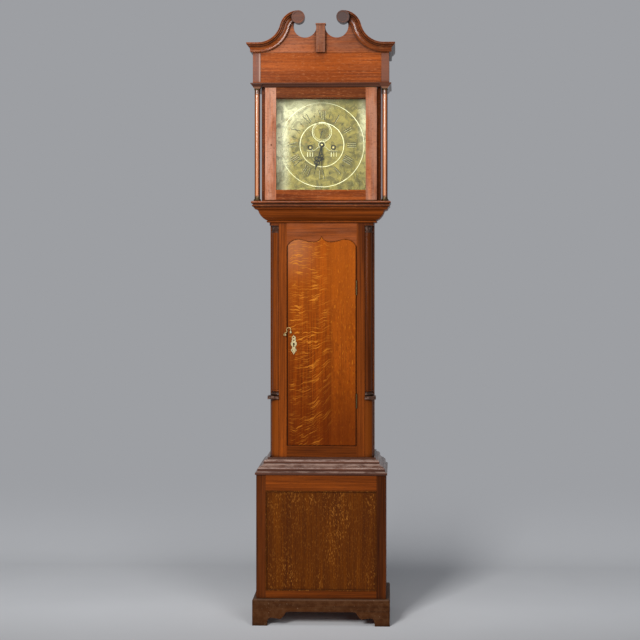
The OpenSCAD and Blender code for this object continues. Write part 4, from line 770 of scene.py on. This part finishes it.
def gut_line():
    material, tree, shader, _ = new_material("gut", **{"Subsurface Weight": 0.1, "Specular IOR Level": 0.4})
    place = place_of(tree)
    x, y, z = axes(tree, place)
    turn = sum_of(tree, "SINE", times(tree, sum_of(tree, "ADD", z, sum_of(tree, "ADD", x, y)), TWIST))
    old = noise(tree, place, (200, 200, 12), detail=3)
    feed(tree, shader, {"Base Color": tint(tree, old, (0.62, 0.46, 0.24, 1), (0.36, 0.22, 0.10, 1)),
                        "Roughness": spread(tree, old, 0.3, 0.7, 0.35, 0.6),
                        "Normal": bump(tree, 0.5, 0.0002, turn)})
    return material


# %% Glass
def crown_glass():
    material, tree, shader, out = new_material("crown_glass", **{
        "Base Color": (0.93, 0.97, 0.94, 1), "Transmission Weight": 1.0, "IOR": 1.46, "Metallic": 0.0})
    place = place_of(tree)
    smear = noise(tree, place, (18, 18, 11), detail=3)
    wave = noise(tree, place, (7, 7, 5), detail=1)
    feed(tree, shader, {"Roughness": spread(tree, smear, 0.4, 0.7, 0.01, 0.06),
                        "Normal": bump(tree, 0.12, 0.002, wave)})
    clear = add(tree, "ShaderNodeBsdfTransparent", {"Color": (0.95, 0.98, 0.96, 1)})
    rays = add(tree, "ShaderNodeLightPath").outputs
    lamp = add(tree, "ShaderNodeMixShader", {0: rays["Is Shadow Ray"], 1: shader.outputs[0],
                                             2: clear.outputs[0]})
    tree.links.new(lamp.outputs[0], out.inputs["Surface"])
    return material


gut, glass = gut_line(), crown_glass()
print("made", gut.name, "and", glass.name)

# %% [markdown]
# ## Put each finish on its pieces
# The CAD pieces keep their shape and place: a finish is only put in the slots that they came with.

# %% Finishes by piece
FINISHES = [
    (mahogany, "frieze tympanum finial_block hood_door_frame hood_carcase dial_mask"),
    (column_mahogany, "hood_columns"), (column_oak, "quarter_columns"),
    (dark_moulding, "base_moulding frieze_moulding"), (warm_moulding, "swan_necks hood_base"),
    (frame_oak, "throat_moulding trunk_frame base_frame trunk_sides base_carcase"),
    (door_oak, "trunk_door"), (panel_oak, "base_panel"), (plinth_oak, "plinth"),
    (pine, "backboard seatboard"),
    (case_brass, "case_brassware door_brassware escutcheon"), (hook_brass, "door_hook"),
    (old_brass, "column_ends hood_door_hinges"),
    (brass, "movement_plates movement_pillars going_great_wheel going_barrel centre_wheel third_wheel "
            "escape_wheel pendulum_bob minute_wheel hour_wheel strike_great_wheel strike_barrel pin_wheel "
            "hoop_wheel warning_wheel fly going_weight going_pulley strike_weight strike_pulley"),
    (steel, "door_lock pallets pendulum_rod hammer"), (blued, "minute_hand hour_hand seconds_hand"),
    (dial_brass, "dial_plate"), (bell_metal, "bell"), (gut, "going_line strike_line"),
    (glass, "hood_door_glass"),
]
TIMBERS = {mahogany, column_mahogany, frame_oak, dark_moulding, warm_moulding, column_oak, door_oak,
           panel_oak, plinth_oak, pine}
board_count = 0
for finish, names in FINISHES:
    for name in names.split():
        for slot in nodes[name].material_slots:
            slot.material = finish
        if finish in TIMBERS:
            board_count += mark_grain(name)
print("boards with their own grain:", board_count)

# %% [markdown]
# ## The gut lines
# Each gut line hangs in a bight round its weight's pulley. When the weight rises both runs shorten,
# but the bight round the pulley keeps its shape. Here a copy of each line, with the gut finish, stands
# in the CAD line's place, and the CAD line is hidden.


def hung_line(name, line):
    piece = put_in_scene(name, nodes[line].data.copy())
    piece.data.materials.clear()
    piece.data.materials.append(gut)
    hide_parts(line)
    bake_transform(piece)


hung_line("going_gut", "going_line")
hung_line("strike_gut", "strike_line")

# %% [markdown]
# ## Engraving the dial
# The dial is engraved, and black wax once filled the cuts. Real cuts are a tenth of a millimetre
# deep, so they are drawn here as ribbons of that thickness lying on the plate, which catch light
# along their edges as a cut does. All of them are made by one function that sweeps a flat ribbon
# along points on the dial's face, measured in millimetres from its centre.

# %% A ribbon on the dial
dial_low, dial_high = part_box("dial_plate")
dial_centre = Vector((0, dial_low.y, (dial_low.z + dial_high.z) / 2))


def on_dial(u, v, lift):
    return dial_centre + Vector((u / 1000, -lift / 1000, v / 1000))


# Height of a ribbon's top and of its two edges over the plate, in millimetres
LIFT, FOOT_LIFT = 0.12, 0.02


def ribbon(mesh, points, width, closed=False):
    """Sweeps a raised strip of that width along points on the dial. Widths may change point by point."""
    widths = width if isinstance(width, (list, tuple)) else [width] * len(points)
    count, rows = len(points), []
    for i, (u, v) in enumerate(points):
        before = points[(i - 1) % count] if closed or i > 0 else points[i]
        after = points[(i + 1) % count] if closed or i < count - 1 else points[i]
        du, dv = after[0] - before[0], after[1] - before[1]
        length = math.hypot(du, dv) or 1.0
        nu, nv = -dv / length * widths[i] / 2, du / length * widths[i] / 2
        rows.append([mesh.verts.new(on_dial(u + s * nu, v + s * nv, h))
                     for s, h in ((-1, FOOT_LIFT), (-0.7, LIFT), (0.7, LIFT), (1, FOOT_LIFT))])
    for i in range(count if closed else count - 1):
        a, b = rows[i], rows[(i + 1) % count]
        for k in range(4):
            mesh.faces.new((a[k], a[(k + 1) % 4], b[(k + 1) % 4], b[k]))
    if not closed:
        mesh.faces.new(rows[0])
        mesh.faces.new(rows[-1][::-1])


def circle(u, v, radius, start=0.0, stop=360.0, steps=96):
    """Points round a circle, counted in degrees clockwise from the top."""
    count = max(3, int(steps * abs(stop - start) / 360))
    last = count if abs(stop - start) < 359.9 else count - 1
    angles = [math.radians(start + (stop - start) * i / count) for i in range(last + 1)]
    return [(u + radius * math.sin(a), v + radius * math.cos(a)) for a in angles]


def place_on_dial(name, mesh, finish):
    bmesh.ops.recalc_face_normals(mesh, faces=mesh.faces)
    data = mesh_data(name, mesh)
    piece = put_in_scene(name, data)
    data.materials.append(finish)
    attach(piece, "case")
    print(name, "has", len(data.polygons), "faces")


# %% [markdown]
# ### Circles and divisions
# Turned lines frame the chapter ring, the minutes and the seconds. They are the brightest marks on
# the dial. The divisions between them are short bars, one for every minute, quarter hour and second.

# %% Circles and divisions
SECONDS_AT = (0.0, 43.0)
# Radius and width of the turned lines round the chapter ring, the seconds and the hub
CHAPTER_LINES = ((139.5, 1.6), (72.8, 1.7))
SECONDS_LINES = ((32.0, 1.5), (27.5, 0.6))
HUB_LINE = (11.0, 0.9)
lines = bmesh.new()
for radius, width in CHAPTER_LINES:
    ribbon(lines, circle(0, 0, radius, steps=180), width, closed=True)
for radius, width in SECONDS_LINES:
    ribbon(lines, circle(*SECONDS_AT, radius), width, closed=True)
ribbon(lines, circle(0, 0, HUB_LINE[0]), HUB_LINE[1], closed=True)
place_on_dial("dial_circles", lines, silvered)

# Fine circles beside the divisions, and how far each kind of division reaches, as radii
FINE_CIRCLES = (132.0, 119.0, 80.5, 77.0)
MINUTE, SECOND, QUARTER = (131.6, 135.4), (29.5, 32.2), (75.6, 80.0)
marks, light_cuts = bmesh.new(), bmesh.new()
for radius in FINE_CIRCLES:
    ribbon(marks, circle(0, 0, radius, steps=180), 0.35, closed=True)
for minute in range(60):
    a = math.radians(minute * 6)
    ribbon(marks, [(r * math.sin(a), r * math.cos(a)) for r in MINUTE], 0.55)
    ribbon(marks, [(SECONDS_AT[0] + r * math.sin(a), SECONDS_AT[1] + r * math.cos(a))
                   for r in SECOND], 0.35)
for quarter in range(48):
    a = math.radians(quarter * 7.5)
    ribbon(marks, [(r * math.sin(a), r * math.cos(a)) for r in QUARTER], 0.4)

# %% [markdown]
# ### Hour numerals
# Roman numerals stand with their feet to the centre. Each thick stroke is a wide dark cut with a
# fine bright line beside it, where the edge of the cut catches the light, and thin strokes are a
# single dark cut. A short bar closes each stroke at its foot and at its head.

# %% Hour numerals
WAX = worked_metal("engraver_wax", (0.014, 0.011, 0.006), (0.034, 0.027, 0.012), rough=0.7, tarnish=0.8)
WAX.node_tree.nodes["Principled BSDF"].inputs["Metallic"].default_value = 0.0
NUMERALS = ["XII", "I", "II", "III", "IIII", "V", "VI", "VII", "VIII", "IX", "X", "XI"]
ADVANCE = {"I": 6.2, "V": 13.0, "X": 13.0}
FOOT, HEAD = 84.0, 114.0
# Width of the thick and the thin strokes, and width and distance of the bright line
THICK, THIN, GLINT, GLINT_AT = 2.3, 1.0, 0.4, 1.6


def strokes_of(letter):
    """Strokes as (from, to, thick) across the letter's width and up its height, each from 0 to 1."""
    return {"I": [((0.5, 0), (0.5, 1), True)],
            "V": [((0.10, 1), (0.5, 0), True), ((0.90, 1), (0.5, 0), False)],
            "X": [((0.12, 1), (0.88, 0), True), ((0.88, 1), (0.12, 0), False)]}[letter]


def turned(u, v, degrees):
    a = math.radians(degrees)
    return (u * math.cos(a) + v * math.sin(a), -u * math.sin(a) + v * math.cos(a))


for hour, word in enumerate(NUMERALS):
    cursor = -sum(ADVANCE[c] for c in word) / 2
    for letter in word:
        wide = ADVANCE[letter]
        for (x0, y0), (x1, y1), thick in strokes_of(letter):
            cuts = [(marks, 0.0, THICK if thick else THIN)]
            if thick:
                cuts.append((light_cuts, GLINT_AT, GLINT))
            for mesh, side, width in cuts:
                ends = [(cursor + wide * x + side, FOOT + (HEAD - FOOT) * y)
                        for x, y in ((x0, y0), (x1, y1))]
                ribbon(mesh, [turned(u, v, hour * 30) for u, v in ends], width)
        for y in (0, 1):
            bar = [(cursor + wide * x, FOOT + (HEAD - FOOT) * y) for x in (0.04, 0.96)]
            ribbon(marks, [turned(u, v, hour * 30) for u, v in bar], 0.7)
        cursor += wide

# %% [markdown]
# ### Half-hour marks
# Between the numerals the engraver cut a small lily on a stalk: three leaves and a dot.

# %% Half-hour marks
for half in range(12):
    turn = half * 30 + 15
    for bend in (-1, 0, 1):
        leaf = [(bend * 3.6 * t * t, 92 + 13 * t - abs(bend) * 4 * t * t) for t in (0, 0.35, 0.7, 1.0)]
        ribbon(marks, [turned(u, v, turn) for u, v in leaf], [0.4, 1.0, 1.1, 0.3])
    ribbon(marks, [turned(u, v, turn) for u, v in ((0, 82), (0, 92))], 0.4)
place_on_dial("dial_numerals", marks, WAX)
place_on_dial("dial_numeral_edges", light_cuts, silvered)

# %% [markdown]
# ### The centre
# Round the winding holes the centre is engraved with a swag from each hole to the hub, a curled
# leaf over it, and three small pillars below. They are generic classical ornament.

# %% Centre ornament
WINDING_HOLE = (38.3, -8.5)
centre, bright = bmesh.new(), bmesh.new()
for s in (-1, 1):
    hole = (s * WINDING_HOLE[0], WINDING_HOLE[1])
    ribbon(centre, circle(*hole, 6.8, steps=40), 4.2, closed=True)
    swag = [(hole[0] - s * 28 * t, hole[1] - 4 - 9 * math.sin(math.pi * min(1, t * 1.15)) + 3 * t)
            for t in [i / 10 for i in range(11)]]
    ribbon(centre, swag, [0.4, 1.0, 1.4, 1.7, 1.9, 1.8, 1.6, 1.3, 1.1, 0.8, 0.5])
    ribbon(bright, [(u, v + 1.6) for u, v in swag], 0.8)
    leaf = [(hole[0] + s * (4 - 12 * t), hole[1] + 9 + 10 * math.sin(math.pi * t * 0.8)) for t in
            [i / 8 for i in range(9)]]
    ribbon(centre, leaf, [0.3, 0.8, 1.1, 1.3, 1.3, 1.1, 0.9, 0.6, 0.3])
    ribbon(centre, circle(hole[0] - s * 9, hole[1] + 13, 4.2, 0, 300, steps=40), 0.7)
    for k in (-1, 0, 1):
        foot = hole[0] + s * 1.0 + k * 8.5
        ribbon(bright, [(foot, -25), (foot, -39)], 1.5)
        ribbon(centre, [(foot - 1.5, -24), (foot - 1.5, -40)], 0.5)
        ribbon(centre, [(foot + 1.5, -24), (foot + 1.5, -40)], 0.5)
        ribbon(centre, [(foot - 2.6, -41), (foot + 2.6, -41)], 0.8)
    ribbon(centre, [(hole[0] - 12, -22), (hole[0] + 14, -22)], 1.5)
    ribbon(bright, [(hole[0] - 12, -20.2), (hole[0] + 14, -20.2)], 0.8)
place_on_dial("dial_ornament", centre, WAX)
place_on_dial("dial_pale_cuts", bright, silvered)

# %% [markdown]
# ## Floor and backdrop
# The studio is a pale floor that curves up into the backdrop, so no horizon shows. The backdrop
# gives its own grey only to the camera and to reflections, and hardly lights the clock, while the
# floor is an ordinary matt surface that keeps the clock's shadow.

# %% Studio surfaces
def sweep(name, profile, half_width, material):
    mesh = bmesh.new()
    rows = [[mesh.verts.new((x, y, z)) for x in (-half_width, half_width)] for y, z in profile]
    for a, b in zip(rows, rows[1:]):
        mesh.faces.new((a[0], a[1], b[1], b[0]))
    data = mesh_data(name, mesh)
    for face in data.polygons:
        face.use_smooth = True
    data.materials.append(material)
    item = put_in_scene(name, data)


def studio_paper():
    material, tree, shader, out = new_material("studio_paper", **{
        "Roughness": 0.9, "Specular IOR Level": 0.1})
    place = place_of(tree)
    mottle = noise(tree, place, (3, 3, 3), detail=3)
    paper = tint(tree, mottle, (0.74, 0.75, 0.765, 1), (0.80, 0.81, 0.825, 1))
    _, y, _ = axes(tree, place)
    # The floor is painted darker towards the front: painted shade where the lamps' light falls off
    paper = tint(tree, spread(tree, y, 0.15, -0.45, 0.0, 0.75), paper, (0.44, 0.44, 0.445, 1))
    tree.links.new(paper, shader.inputs["Base Color"])
    glow = add(tree, "ShaderNodeEmission", {"Color": (0.338, 0.346, 0.366, 1), "Strength": 1.0})
    dark = add(tree, "ShaderNodeEmission", {"Color": (0.060, 0.062, 0.066, 1)})
    rays = add(tree, "ShaderNodeLightPath").outputs
    seen = sum_of(tree, "ADD", sum_of(tree, "ADD", rays["Is Camera Ray"], rays["Is Glossy Ray"]),
                  rays["Is Transmission Ray"], clamp=True)
    wall = add(tree, "ShaderNodeMixShader", {0: seen, 1: dark.outputs[0], 2: glow.outputs[0]})
    back = spread(tree, y, 0.60, 1.20)
    both = add(tree, "ShaderNodeMixShader", {0: back, 1: shader.outputs[0], 2: wall.outputs[0]})
    # From behind the paper is clear, so that the clock's back can be looked at too
    behind = add(tree, "ShaderNodeNewGeometry").outputs["Backfacing"]
    clear = add(tree, "ShaderNodeBsdfTransparent")
    sided = add(tree, "ShaderNodeMixShader", {0: behind, 1: both.outputs[0], 2: clear.outputs[0]})
    tree.links.new(sided.outputs[0], out.inputs["Surface"])
    return material


# The floor's front edge, where its bend starts, and the bend's radius
FRONT, BEND, RADIUS = -5.5, 0.7, 0.6
cove = [(FRONT, 0.0), (BEND, 0.0)] + [
    (BEND + RADIUS * math.sin(math.radians(a)), RADIUS - RADIUS * math.cos(math.radians(a)))
    for a in range(10, 91, 10)]
sweep("studio_floor", cove + [(1.3, 6.0)], 8.0, studio_paper())
print("studio floor of", len(cove) + 1, "points from front to top")

# %% [markdown]
# ## Lamps
# The strongest lamp stands in front on the left, a little above the clock. A wider and weaker one
# fills from the right, and a third hangs overhead to draw the mouldings. All of them are soft, and
# they are kept low enough that the finishes come out in about the colours that were written.

# %% Lamps and world
def soft_lamp(name, place, aim, size, power):
    data = bpy.data.lights.new(name, "AREA")
    data.shape, data.size, data.size_y, data.energy = "RECTANGLE", size[0], size[1], power
    lamp = put_in_scene(name, data)
    lamp.location = place
    lamp.rotation_euler = (Vector(aim) - Vector(place)).to_track_quat("-Z", "Y").to_euler()
    print(name, "gives", power, "W")


soft_lamp("key_lamp", (-1.2, -3.1, 2.4), (0, -0.05, 1.25), (0.9, 1.2), 92)
soft_lamp("fill_lamp", (1.7, -3.1, 1.9), (0, -0.05, 1.1), (1.3, 1.9), 28)
soft_lamp("top_lamp", (0.0, -0.9, 3.6), (0, -0.05, 1.6), (1.6, 0.8), 17)
world = bpy.data.worlds.new("studio")
bpy.context.scene.world = world
world.use_nodes = True
world.node_tree.nodes["Background"].inputs["Color"].default_value = (0.80, 0.86, 1.0, 1)
world.node_tree.nodes["Background"].inputs["Strength"].default_value = 0.17
bpy.context.scene.view_settings.view_transform = "Standard"

# %% [markdown]
# ## Camera
# The photograph was taken with a long lens at chest height, a little to the clock's right, with the
# lens shifted so that the uprights stay upright. The distance comes from how much the deeper
# mouldings shrink, and the height from the level at which edges stop sloping.

# %% Camera
# Lens and shift in pixels of the photograph, the film's width in millimetres, the place in metres
PIXELS, FOCAL, SHIFT = 640, 1335.0, (-40.0, -78.0)
FILM = 36.0
EYE, TURN = (0.25, -4.463, 1.256), 1.6
data = bpy.data.cameras.new("camera")
camera = put_in_scene("camera", data)
bpy.context.scene.camera = camera
data.sensor_width = FILM
data.lens = FILM * FOCAL / PIXELS
data.shift_x, data.shift_y = SHIFT[0] / PIXELS, SHIFT[1] / PIXELS
camera.location = EYE
camera.rotation_euler = (math.radians(90), 0, math.radians(TURN))
print("lens", round(data.lens, 1), "mm, shift", round(data.shift_x, 4), round(data.shift_y, 4))
